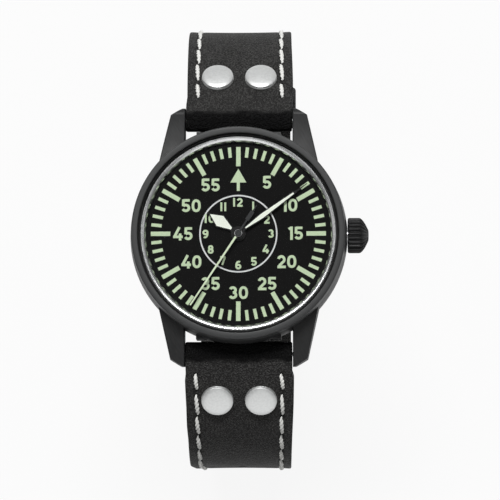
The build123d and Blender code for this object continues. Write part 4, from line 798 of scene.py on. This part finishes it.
# Each numeral has its width and its strokes' middle lines, as shares of its height. "I" is a plain 1.
low_stroke, high_stroke = half_stroke, 1 - half_stroke
numerals = {
    "0": (0.72, [arc((0.36, 0.5), (0.242, 0.382), 0, 360, 48, 0.86)]),
    "1": (0.40, [[(0.27, 0), (0.27, 1)], [(0.06, 0.80), (0.27, 0.93)]]),
    "2": (0.68, [np.vstack([arc((0.335, 0.655), (0.217, 0.227), 168, -35), [(0.15, 0.165)]]),
                 [(0.035, low_stroke), (0.66, low_stroke)]]),
    "3": (0.70, [arc((0.335, 0.69), (0.2, 0.192), 158, -90), arc((0.34, 0.32), (0.225, 0.202), 90, -158)]),
    "4": (0.76, [[(0.50, 1), (0.13, 0.29)], [(0.03, 0.27), (0.745, 0.27)], [(0.55, 0), (0.55, 0.52)]]),
    "5": (0.68, [[(0.62, high_stroke), (0.13, high_stroke)], [(0.155, 0.97), (0.135, 0.47)],
                 arc((0.325, 0.335), (0.235, 0.217), 142, -155)]),
    "6": (0.70, [arc((0.35, 0.325), (0.232, 0.207), 0, 360, 36),
                 arc((0.40, 0.46), (0.282, 0.422), 62, 190, 20)]),
    "7": (0.66, [[(0.03, high_stroke), (0.62, high_stroke)], [(0.555, 0.86), (0.25, 0)]]),
    "8": (0.70, [arc((0.35, 0.70), (0.188, 0.182), 0, 360, 32),
                 arc((0.35, 0.315), (0.225, 0.197), 0, 360, 36)]),
    "9": (0.70, [arc((0.35, 0.675), (0.232, 0.207), 0, 360, 36),
                 arc((0.30, 0.54), (0.282, 0.422), 10, -118, 20)]),
    "I": (0.26, [[(0.13, 0), (0.13, 1)]]),
}
minute_places = {
    "5": (5.29, 9.52), "10": (9.47, 5.28), "15": (10.55, 0.05), "20": (8.91, -5.2), "25": (5.3, -9.26),
    "30": (0.0, -10.93), "35": (-5.14, -9.26), "40": (-8.66, -5.2), "45": (-10.24, 0.0),
    "50": (-8.71, 5.22), "55": (-5.14, 9.06),
}
hour_places = {
    "I2": (-0.09, 5.83), "I": (2.74, 5.15), "2": (5.25, 2.65), "3": (6.0, 0.0), "4": (5.03, -2.86),
    "5": (2.87, -5.17), "6": (0.0, -5.83), "7": (-2.85, -4.98), "8": (-5.1, -2.92), "9": (-6.06, -0.05),
    "I0": (-5.3, 2.8), "II": (-2.78, 5.0),
}


def stroke(points, half, base, rise):
    """A raised stroke: at each point the section runs from one edge over a flat top to the other,
    square to the stroke's direction, lengthened at a corner by 1 / cos of half the turn."""
    points = np.array(points, dtype=float)
    closed = np.allclose(points[0], points[-1])
    steps = np.diff(points, axis=0)
    way = steps / np.linalg.norm(steps, axis=1, keepdims=True)
    ends = (way[-1:], way[:1]) if closed else (way[:1], way[-1:])
    before, after = np.vstack([ends[0], way]), np.vstack([way, ends[1]])
    mean = before + after
    mean /= np.linalg.norm(mean, axis=1, keepdims=True)
    widen = 1 / np.maximum(np.sum(mean * after, axis=1), 0.5)
    across = np.column_stack([-mean[:, 1], mean[:, 0]]) * widen[:, None]
    side = np.array([-1, -1, -0.86, 0.86, 1, 1]) * half
    height = np.array([0, 0.6, 1, 1, 0.6, 0]) * rise + base
    flat = points[:, None] + across[:, None] * side[None, :, None]
    grid = np.concatenate([flat, np.broadcast_to(height[None, :, None], flat.shape[:2] + (1,))], axis=-1)
    if not closed:
        ends = [grid[n:n + 1] * [1, 1, 0] + [0, 0, base] for n in (0, len(grid) - 1)]
        grid = np.concatenate([ends[0], grid, ends[1]])
    return grid


def numeral_strokes(text, centre, height, gap, weight):
    """The strokes of a number of one or two digits, centred on a place, in a weight of 1 or bolder. Each
    stroke of a digit stands a hair higher than the one before, so that no two tops coincide."""
    widths = [numerals[digit][0] * height for digit in text]
    start = centre[0] - (sum(widths) + gap * (len(text) - 1)) / 2
    grids = []
    for digit, width in zip(text, widths):
        for n, points in enumerate(numerals[digit][1]):
            spots = np.array(points) * height + [start, centre[1] - height / 2]
            grids.append(stroke(spots, half_stroke * height * weight, dial_top, print_height + 0.004 * n))
        start += width + gap
    return grids


def number_row(name, places, *style):
    """All the numbers of one row as one printed piece, in a height, a gap and a weight."""
    grids = [grid for text, centre in places.items() for grid in numeral_strokes(text, centre, *style)]
    make(name, grids, dial_lume, "case", sharp=30)


number_row("minute_numbers", minute_places, minute_number_height, minute_number_gap, 1.0)
number_row("hour_numbers", hour_places, hour_number_height, hour_number_gap, hour_number_weight)
circle_outline = [
    (circle_inner_radius, dial_top), (circle_inner_radius + circle_edge, dial_top + circle_height),
    (circle_outer_radius - circle_edge, dial_top + circle_height), (circle_outer_radius, dial_top),
]
make_ring("hour_circle", circle_outline, white_print)


# Crown: flutes run along the grip and draw together over the rounded end

def crown_surface():
    """At each place x along the crown and a round it, the radius is R(x) - d(x) f(a): f rises from 0 on
    a rib to 1 in a flute as a power of (1 - cos n a) / 2, and R falls over the end as a power of x."""
    end_length = crown_length - crown_grip
    x = np.concatenate([np.linspace(0, crown_edge, 7), np.linspace(crown_grip_start, crown_grip, 12)[1:],
                        crown_grip + end_length * np.linspace(0, 1, 26)[1:]])
    lead = np.clip(1 - x / crown_edge, 0, 1)
    past = np.clip((x - crown_grip) / end_length, 0, 1)
    radius = crown_radius * (1 - (1 - crown_end_share) * past**crown_end_power)
    radius = radius - crown_edge * (1 - np.sqrt(1 - lead**2))
    a = np.linspace(0, 2 * pi, crown_flutes * 12, endpoint=False)
    flute = (0.5 - 0.5 * np.cos(a * crown_flutes)) ** flute_power
    depth = flute_depth * np.clip(x / flute_run_in, flute_start_share, 1) * (1 - flute_fade_share * past)
    r = radius[:, None] - depth[:, None] * flute[None, :]
    pocket_x = np.array([crown_pocket_depth, crown_pocket_depth, 0])
    pocket_r = np.array([0, crown_pocket_radius, crown_pocket_radius])
    x = np.concatenate([pocket_x, x, [crown_length + crown_cap]])[:, None]
    r = np.concatenate([pocket_r[:, None] + 0 * r[:3], r, 0 * r[:1]])
    return np.stack([crown_start + x + 0 * r, r * np.cos(a), stem_height + r * np.sin(a)], axis=-1)


make("crown_grip", crown_surface(), black_crown_painted_shade, "crown_and_stem", "crown", columns=True,
     sharp=60)


# Strap halves: a side view carried across the width, with rounded edges

bend_middle = strap_bend_radius - strap_thickness / 2
foot_middle = strap_foot_radius - strap_bend_thickness / 2
eye_lift = strap_eye_radius - strap_thickness / 2
bend_length = bend_middle * (pi / 2 - strap_start_turn)
bend_centre = bar_reach + (eye_lift - bend_middle) * sin(strap_start_turn)
turn_low = bar_height + (eye_lift - bend_middle) * cos(strap_start_turn)
taper_end = floor_level + strap_foot_radius / 2


def strap_runs(drop, *after):
    """A half's runs, each a length and the turn that it makes, in radians."""
    return [(bend_length, pi / 2 - strap_start_turn), (drop, 0), (foot_middle * pi / 2, pi / 2), *after]


def middle_line(runs, distance):
    """Where a half's middle line is after each distance: y, z and its angle down from +Y. Over a run that
    turns on a radius R from angle a to b, y grows by R (sin b - sin a) and z by R (cos b - cos a)."""
    angle = np.full_like(distance, strap_start_turn, dtype=float)
    y = bar_reach + eye_lift * np.sin(angle)
    z = bar_height + eye_lift * np.cos(angle)
    begin = 0
    for length, turn in runs:
        part = np.clip(distance - begin, 0, length)
        if turn:
            radius = length / turn
            new_angle = angle + part / radius
            y = y + radius * (np.sin(new_angle) - np.sin(angle))
            z = z + radius * (np.cos(new_angle) - np.cos(angle))
            angle = new_angle
        else:
            y = y + part * np.cos(angle)
            z = z - part * np.sin(angle)
        begin += length
    return y, z, angle


def laid(spot, x, along, out, way=1):
    """Places at x across the strap from a spot's y, z and angle a, further along its middle line and out
    from it, square to it: y grows by along cos a + out sin a, and z by out cos a - along sin a. The way is
    1 on the short half and -1 on the long one."""
    y, z, angle = spot
    up = z - along * np.sin(angle) + out * np.cos(angle)
    places = np.broadcast_arrays(x, way * (y + along * np.cos(angle) + out * np.sin(angle)), up)
    return np.stack(places, axis=-1)


short_runs = strap_runs(short_drop, (short_tail, 0))
foot_start = bend_length + short_drop
foot_low = turn_low - short_drop - foot_middle - strap_bend_thickness / 2
long_runs = strap_runs(short_drop + foot_low - floor_level, (long_flat, 0),
                       (long_curl_radius * long_curl_turn, long_curl_turn))
# Each half has its runs, its stitches, and how far its left and right edges have stretched outwards
# at some distances along it
short_half = {
    "runs": short_runs, "way": 1, "swell": strap_swell, "body": "strap_12",
    "stitch_start": 4.0, "stitch_pitch": 4.45, "stitch_end": 12.0,
    "left": ((2.5, 4, 9, 14, 20, 27, 34, 44), (0, -0.15, 0.0, 0.12, 0.25, 0.38, 0.35, 0)),
    "right": ((2.5, 4, 8, 12, 18, 27, 44), (0, 0.2, 0.3, 0.25, 0.12, 0.04, 0)),
}
long_half = {
    "runs": long_runs, "way": -1, "swell": 0, "body": "strap_6",
    "stitch_start": 3.3, "stitch_pitch": 4.75, "stitch_end": 5.0,
    "left": ((3.2, 4.5, 10, 14, 18, 24, 32, 45), (0, 0.17, 0.1, 0.16, 0.06, 0.14, 0.25, 0)),
    "right": ((3.2, 4.5, 9, 13, 17, 22, 32, 45), (0, 0.36, 0.33, 0.22, 0.1, 0, -0.12, 0)),
}


def total(runs):
    """A half's whole length along its middle."""
    return sum(length for length, turn in runs)


def half_thickness(runs, distance):
    """Half a half's thickness, which thins along the bend and again towards the end."""
    return np.interp(distance, (0, bend_length, total(runs[:3]), total(runs)),
                     (strap_thickness, strap_bend_thickness, strap_bend_thickness, strap_tip_thickness)) / 2


def half_width(runs, distance):
    """Half a half's width: it tapers by its reach over the bend, and by its height below it."""
    y, z, angle = middle_line(runs, distance)
    widest = bend_centre + bend_middle + strap_bend_thickness / 2
    outer = y + half_thickness(runs, distance) * np.sin(angle)
    over = np.interp(outer, (bar_reach, widest), strap_half_widths[:2])
    under = np.interp(-z, (-turn_low, -taper_end), strap_half_widths[1:])
    return np.where(distance < bend_length, over, under)


def swell(half, distance):
    """How far a half stands out from its plain bend: it rises and falls as 3 t^2 - 2 t^3."""
    rise = np.clip((distance - swell_start) / swell_rise, 0, 1)
    fall = np.clip((swell_end - distance) / swell_fall, 0, 1)
    return half["swell"] * rise**2 * (3 - 2 * rise) * fall**2 * (3 - 2 * fall)


def stretched(half, distance, x):
    """A place across a half, moved outwards with its edge by a share that grows as (x / edge)^3."""
    edge = half_width(half["runs"], distance)
    move = np.where(x < 0, -np.interp(distance, *half["left"]), np.interp(distance, *half["right"]))
    return x + move * np.abs(x / edge) ** 3


def on_half(half, distance, x, lift):
    """Places on a half: across by x, and out from its middle line by lift, square to it."""
    return laid(middle_line(half["runs"], distance), x, 0, lift + swell(half, distance), half["way"])


def profile(half, distance, lift):
    """The y and z of places in a half's side view, out from its middle line by lift."""
    return on_half(half, distance, 0, lift)[:, 1:]


def stitch_spans(half):
    """Where a half's stitches start and how long each is: a short one first, then one every pitch."""
    second = half["stitch_start"] + first_stitch_length + 2 * needle_gap
    starts = np.arange(second, total(half["runs"]) - half["stitch_end"], half["stitch_pitch"])
    lengths = np.full(len(starts), half["stitch_pitch"] - needle_gap)
    return np.concatenate([[half["stitch_start"]], starts]), np.concatenate([[first_stitch_length], lengths])


def side_view(half):
    """The closed side view: out along the outer side, round the end on a blunt half oval, back along the
    inner side and round the fold. It gives the y and z of each place and of the core that it stands
    on, its distance along the half, and 1 on the outer side, -1 on the inner side and 0 elsewhere."""
    runs, way = half["runs"], half["way"]
    end = np.array([total(runs) - end_round])
    s = np.arange(fold_crease, end[0], along_step)
    back = s[s > fold_core][::-1]
    outer = profile(half, s, half_thickness(runs, s))
    inner = profile(half, back, -half_thickness(runs, back))
    tip_middle = profile(half, end, 0)
    up = profile(half, end, 1) - tip_middle
    ahead = np.array([way * up[0, 1], -way * up[0, 0]])
    t = np.linspace(0, pi, 13)[:, None]
    blunt = np.sign(np.cos(t)) * np.abs(np.cos(t)) ** 0.6
    tip = tip_middle + np.sin(t) ** 0.7 * ahead + blunt * half_thickness(runs, end) * up
    fold = rounded(fold_corners, 6, closed=False) * [way, 1] + [way * bar_reach, bar_height]
    first = profile(half, np.array([fold_core]), 0)
    side = np.concatenate([outer, tip, inner, fold])
    heart = np.concatenate([profile(half, np.maximum(s, fold_core), 0), np.repeat(tip_middle, len(tip), 0),
                            profile(half, back, 0), np.repeat(first, len(fold), 0)])
    along = np.concatenate([s, end[0] + np.sin(t[:, 0]) ** 0.7, back, np.zeros(len(fold))])
    facing = np.concatenate([np.ones(len(s)), np.zeros(len(tip)), -np.ones(len(back)), np.zeros(len(fold))])
    return side, heart, along, facing


def leather_grid(half, pointed):
    """The side view is carried across the width. Near each edge it draws in towards its core on a quarter
    circle, and it closes on the core at the side. The outer side dips a little between its edges, and
    each row of stitches presses a groove exp(-(d/w)^2) along it, with a deeper dimple at each needle
    hole. It also gives a darkening for each place: painted shade on the fold and in the needle holes, and
    black edge paint at the sides."""
    side, heart, along, facing = side_view(half)
    runs = half["runs"]
    width = half_width(runs, along)
    if pointed:
        near_end = np.clip((along - (total(runs) - tip_point_length)) / tip_point_length, 0, 1)
        width = width + (tip_point_half - width) * near_end**tip_point_power
    width, along_row = width[:, None], along[:, None]
    turn = np.linspace(0, pi / 2, 6)
    flat = np.linspace(-1, 1, 72)[1:-1]
    from_edge = np.concatenate([[0.0], strap_edge * (1 - np.cos(turn))])
    drawn = np.concatenate([[1.0], 1 - np.sin(turn)])
    x = np.concatenate([-width + from_edge, (width - strap_edge) * flat, width - from_edge[::-1]], axis=1)
    share = np.concatenate([drawn, 0 * flat, drawn[::-1]])[None, :]
    reach = np.linalg.norm(side - heart, axis=1)[:, None]
    draw = np.minimum(strap_edge / reach, 1) * share
    draw[:, 0] = draw[:, -1] = 1
    dip = strap_dip * ((x / width) ** 2 - 1) * (facing > 0)[:, None]
    starts, lengths = stitch_spans(half)
    off_row = np.abs(np.abs(x) - (half_width(runs, along_row) - stitch_inset))
    row_end = starts[-1] + lengths[-1] + groove_past
    sewn = ((along > starts[0] - groove_past) & (along < row_end) & (facing > 0))[:, None]
    off_hole = np.min(np.abs(along_row - np.concatenate([starts, starts + lengths])), axis=1)[:, None]
    groove = groove_depth * np.exp(-(off_row / groove_width) ** 2)
    hole = np.exp(-(off_hole / needle_hole_length) ** 2 - (off_row / needle_hole_width) ** 2)
    lift = reach * (1 - draw) + (dip - (groove + needle_hole_depth * hole) * sewn) * (share < 0.5)
    outward = (side - heart) / reach
    flatwise = heart[:, None] + outward[:, None] * lift[..., None]
    # Painted shade on the fold round the bar: full in front of a wavy line near the crease, fading out behind
    # it.
    crease = fold_crease - painted_shade_wave + painted_shade_wave * np.sin(0.7 * x + 0.5) + painted_shade_ripple * np.sin(2.3 * x)
    painted_fold_shade = np.clip(1 - (along_row - crease) / painted_shade_fade, 0, 1) * (facing >= 0)[:, None]
    # The darkening is the strongest of the painted shade on the fold, black edge paint at the sides and
    # painted shade in the needle holes.
    edge_paint_and_painted_shade = np.maximum(painted_fold_shade, np.maximum(0.7 * share, hole * sewn))
    x = stretched(half, along_row, x)
    return np.concatenate([x[..., None], flatwise], axis=-1), edge_paint_and_painted_shade


def stitch_grids(half, seed):
    """Each stitch is a thread whose middle rises as a power of sin between two needle holes and leans
    across the row. Its section is R (1 + k cos 2(a - n pi t)), two strands twisted n half turns round
    each other, and it thins towards the holes."""
    random = np.random.default_rng(seed)
    runs = half["runs"]
    t = np.linspace(0, 1, 31)
    around = np.linspace(0, 2 * pi, 12, endpoint=False)[None, :]
    twist = 1 + twist_share * np.cos(2 * (around - twist_half_turns * pi * t[:, None]))
    bow = np.sin(pi * t)
    thin = stitch_end_share + (1 - stitch_end_share) * bow**0.5
    radius = (stitch_width / 2 * thin)[:, None] * twist
    grids = []
    for row in (-1, 1):
        for start, length in zip(*stitch_spans(half)):
            s = start - stitch_tuck + (length + 2 * stitch_tuck) * t
            x = row * (half_width(runs, s) - stitch_inset) - half["way"] * stitch_lean * (t - 0.5)
            x = stretched(half, s, x + random.normal(0, stitch_stray))[:, None]
            lift = (half_thickness(runs, s) - stitch_root + (stitch_root + stitch_rise) * bow**0.6
                    - groove_depth)
            ring = on_half(half, s[:, None], x + radius * np.cos(around),
                           lift[:, None] + stitch_flat_share * radius * np.sin(around))
            grids.append(capped(ring))
    return grids


def hole_cutter(half, distance, radius):
    """A round cutter through a half, square to its middle line."""
    a = np.linspace(0, 2 * pi, 40, endpoint=False)[None, :]
    out = np.array([-hole_cutter_reach, hole_cutter_reach])[:, None]
    spot = middle_line(half["runs"], distance)
    return capped(laid(spot, radius * np.cos(a), radius * np.sin(a), out, half["way"]))


def slot_cutter():
    """The tongue's slot: a rounded four-sided ring, carried square through the short half's end."""
    out = np.array([-slot_cutter_reach, slot_cutter_reach])
    half = tongue_slot_width / 2
    x, along = rounded_box(-half + 0 * out, half, end_eye_radius - tongue_slot_length,
                           end_eye_radius + tongue_slot_past, tongue_slot_corner, tongue_slot_corner)
    return capped(laid(middle_line(short_runs, total(short_runs)), x, along, out[:, None]))


bores = [bar_along_x(y, bar_height, bar_bore, -strap_width, strap_width) for y in (bar_reach, -bar_reach)]
end_eye = bar_along_x(*buckle_spot[:2], end_eye_bore, -strap_width, strap_width)
hole_places = total(long_runs) - hole_end - hole_pitch * np.arange(hole_count)
holes = [hole_cutter(long_half, place, hole_radius) for place in hole_places]
for name, node, half, pointed, cuts in (
    ("strap_short_leather", "strap_short", short_half, False, ([bores[0], end_eye], [slot_cutter()])),
    ("strap_long_leather", "strap_long", long_half, True, ([bores[1], *holes],)),
):
    grid, edge_paint_and_painted_shade = leather_grid(half, pointed)
    piece = make(name, grid, leather, half["body"], node, rows=True, sharp=50, edge_paint_and_painted_shade=edge_paint_and_painted_shade)
    for cutters in cuts:
        cut(piece, cutters, 50)
for name, half, seed in (("strap_short_stitches", short_half, 3), ("strap_long_stitches", long_half, 7)):
    make(name, stitch_grids(half, seed), thread, half["body"], columns=True, sharp=80)


# Rivets: each is a satin head with a beaded rim, on a shank through the strap to a cap behind it

rivet_distance = bend_middle * (np.arcsin((rivet_reach - bend_centre) / strap_bend_radius) - strap_start_turn)


def rivet(half, x):
    """A rivet's outline of radii r and heights h, turned about the line square to the strap: the head's
    face falls as h - k r^2, its side leans in and flares out again to a bead at the leather."""
    depth = 2 * half_thickness(short_runs, rivet_distance)
    back = rivet_seat - depth
    reach = np.linspace(0, rivet_face_share * rivet_radius, 12)
    face = np.column_stack([reach, rivet_height - rivet_dome * (reach / rivet_radius) ** 2])
    rim = rounded(np.array(rivet_rim) * [rivet_radius, 1, 1], 5, closed=False)
    behind = [
        (rivet_shank_radius, 0), (rivet_shank_radius, back), (rivet_cap_radius, back),
        (rivet_cap_radius, back - cap_side_share * rivet_cap_height),
        (cap_face_share * rivet_cap_radius, back - rivet_cap_height), (0, back - rivet_cap_height),
    ]
    r, h = np.concatenate([face[:-1], rim, behind]).T
    a = np.linspace(0, 2 * pi, 72, endpoint=False)[:, None]
    spot = middle_line(short_runs, rivet_distance)
    return laid(spot, x + r * np.cos(a), r * np.sin(a), h + depth / 2 - rivet_seat, half["way"])


for name, node, half in (("rivet_pair_short", "rivets_short", short_half),
                         ("rivet_pair_long", "rivets_long", long_half)):
    make(name, [rivet(half, rivet_x), rivet(half, -rivet_x)], satin, half["body"], node,
         rows=True, sharp=45)


# Keepers and buckle

def bent_section(inner, outer, thickness_low, thickness_high, edge_share, edge, steps):
    """Rounded four-sided sections between an inner and an outer outline: the places in the outlines'
    plane, and how high each lies square to it."""
    share, height = rounded_box(0.0, 1.0, thickness_low, thickness_high, edge_share, edge, steps)
    flat = inner[:, None] + (outer - inner)[:, None] * share[0][None, :, None]
    return flat[..., 0], flat[..., 1], height


def keeper(turn):
    """A leather loop round the strap: at each place round it, a rounded four-sided section between an
    inner and an outer rounded rectangle, square to the strap."""
    inner, outer = (
        np.stack(rounded_box(-keeper_half_width - wall, keeper_half_width + wall, keeper_low - wall,
                             keeper_high + wall, corner, corner, 7), -1)[0]
        for wall, corner in ((0, keeper_inner_corner), (keeper_wall, keeper_outer_corner))
    )
    x, out, along = bent_section(inner, outer, -keeper_length / 2, keeper_length / 2, keeper_edge_share,
                                 keeper_edge, 5)
    return laid(middle_line(short_runs, foot_start + foot_middle * turn), x, along, out)


def buckle_outline(half, end, corner):
    """Three sides of the buckle's frame, from one arm round the front to the other."""
    arm = [(-half, buckle_back, buckle_end_edge), (-half, end, corner)]
    front = [(x, end, buckle_notch_edge) for x in buckle_notch_stops]
    return rounded([*arm, *front, (half, end, corner), (half, buckle_back, buckle_end_edge)], 7, closed=False)


def buckle_surface():
    """The buckle's frame: a pill-shaped section between an inner and an outer outline of three sides,
    hollowed by a notch where the tongue rests."""
    inner = buckle_outline(buckle_inner_half, buckle_inner_end, buckle_inner_corner)
    outer = buckle_outline(buckle_outer_half, buckle_outer_end, buckle_outer_corner)
    x, along, out = bent_section(inner, outer, -buckle_thickness / 2, buckle_thickness / 2, buckle_edge_share,
                                 buckle_edge, 6)
    notched = (np.abs(x) < buckle_notch_half) & (along > buckle_inner_end / 2)
    out = np.where(notched, np.minimum(out, buckle_notch_floor), out)
    return capped(laid(buckle_spot, x, along, out))


for name, turn, body, node in (("keeper_fixed_loop", fixed_keeper_turn, "strap_12", "keeper_fixed"),
                               ("keeper_free_loop", free_keeper_turn, "loop", "keeper_free")):
    make(name, keeper(turn), leather, body, node, rows=True, columns=True, sharp=50)
make("buckle_bow", buckle_surface(), satin, "buckle", "buckle_frame", columns=True)


# Studio: a pale floor, soft lamps and a pale room

def seen(tree, *shares):
    """The largest of the shares, each for one kind of ray: camera, glossy and transmission."""
    rays = tree.add("LightPath").outputs
    kinds = ("Is Camera Ray", "Is Glossy Ray", "Is Transmission Ray")
    most, *others = [tree.joined("MULTIPLY", rays[kind], share) for kind, share in zip(kinds, shares)]
    for part in others:
        most = tree.joined("MAXIMUM", most, part)
    return most


def pale_floor():
    """A plain white floor, which the camera and shiny pieces see as nearly white, with a soft shadow."""
    tree = new_shading("pale_floor")
    material = tree.shade({"Base Color": grey(0.8), "Roughness": floor_roughness})
    glow = tree.add("Emission", {"Color": grey(1.0)})
    plain = tree.nodes["Principled BSDF"].outputs[0]
    blend = tree.add("MixShader", {"Fac": seen(tree, 0.9, 0.5, 0.9), 1: plain, 2: glow.outputs[0]})
    tree.fill(tree.nodes["Material Output"], {"Surface": blend.outputs[0]})
    mesh = bpy.data.meshes.new("floor")
    around = ((-1, -1), (1, -1), (1, 1), (-1, 1))
    corners = [(x * floor_reach, y * floor_reach, floor_level * mm) for x, y in around]
    mesh.from_pydata(corners, [], [(0, 1, 2, 3)])
    mesh.materials.append(material)
    placed("floor", mesh)


def pale_room():
    """A room that lights little by itself, and that the camera sees white. Shiny pieces see it dark
    overhead and pale low down, most of all towards 6 o'clock."""
    world = bpy.data.worlds.new("studio")
    tree = Shading(world)
    light = tree.joined("MAXIMUM", seen(tree, 1.0, 0.2, 1.0), room_light)
    split = tree.add("SeparateXYZ", {0: tree.add("TexCoord").outputs["Generated"]})
    glossy = tree.add("LightPath").outputs["Is Glossy Ray"]
    for way, strength in ((-1, 1.15), (1, 0.4)):
        toward = tree.joined("MULTIPLY", split.outputs["Y"], way)
        band = tree.add("MapRange", {"Value": toward, "From Min": band_start, "From Max": band_end,
                                     "To Max": strength})
        light = tree.joined("ADD", light, tree.joined("MULTIPLY", band.outputs["Result"], glossy))
    tree.fill(tree.nodes["Background"], {"Color": grey(1.0), "Strength": light})
    bpy.context.scene.world = world


def lamp(name, turn, height, size, power):
    """A soft lamp a metre from the watch, at a direction counted from 3 o'clock and a height in degrees."""
    turn, height = radians(turn), radians(height)
    place = Vector((cos(height) * cos(turn), cos(height) * sin(turn), sin(height)))
    data = bpy.data.lights.new(name, "AREA")
    data.shape = "RECTANGLE"
    data.size, data.size_y = size
    data.energy = power
    holder = placed(name, data)
    holder.location = place
    holder.rotation_euler = (-place).to_track_quat("-Z", "Y").to_euler()


pale_floor()
pale_room()
for settings in lamps:
    lamp(*settings)
bpy.context.scene.view_settings.view_transform = "Standard"
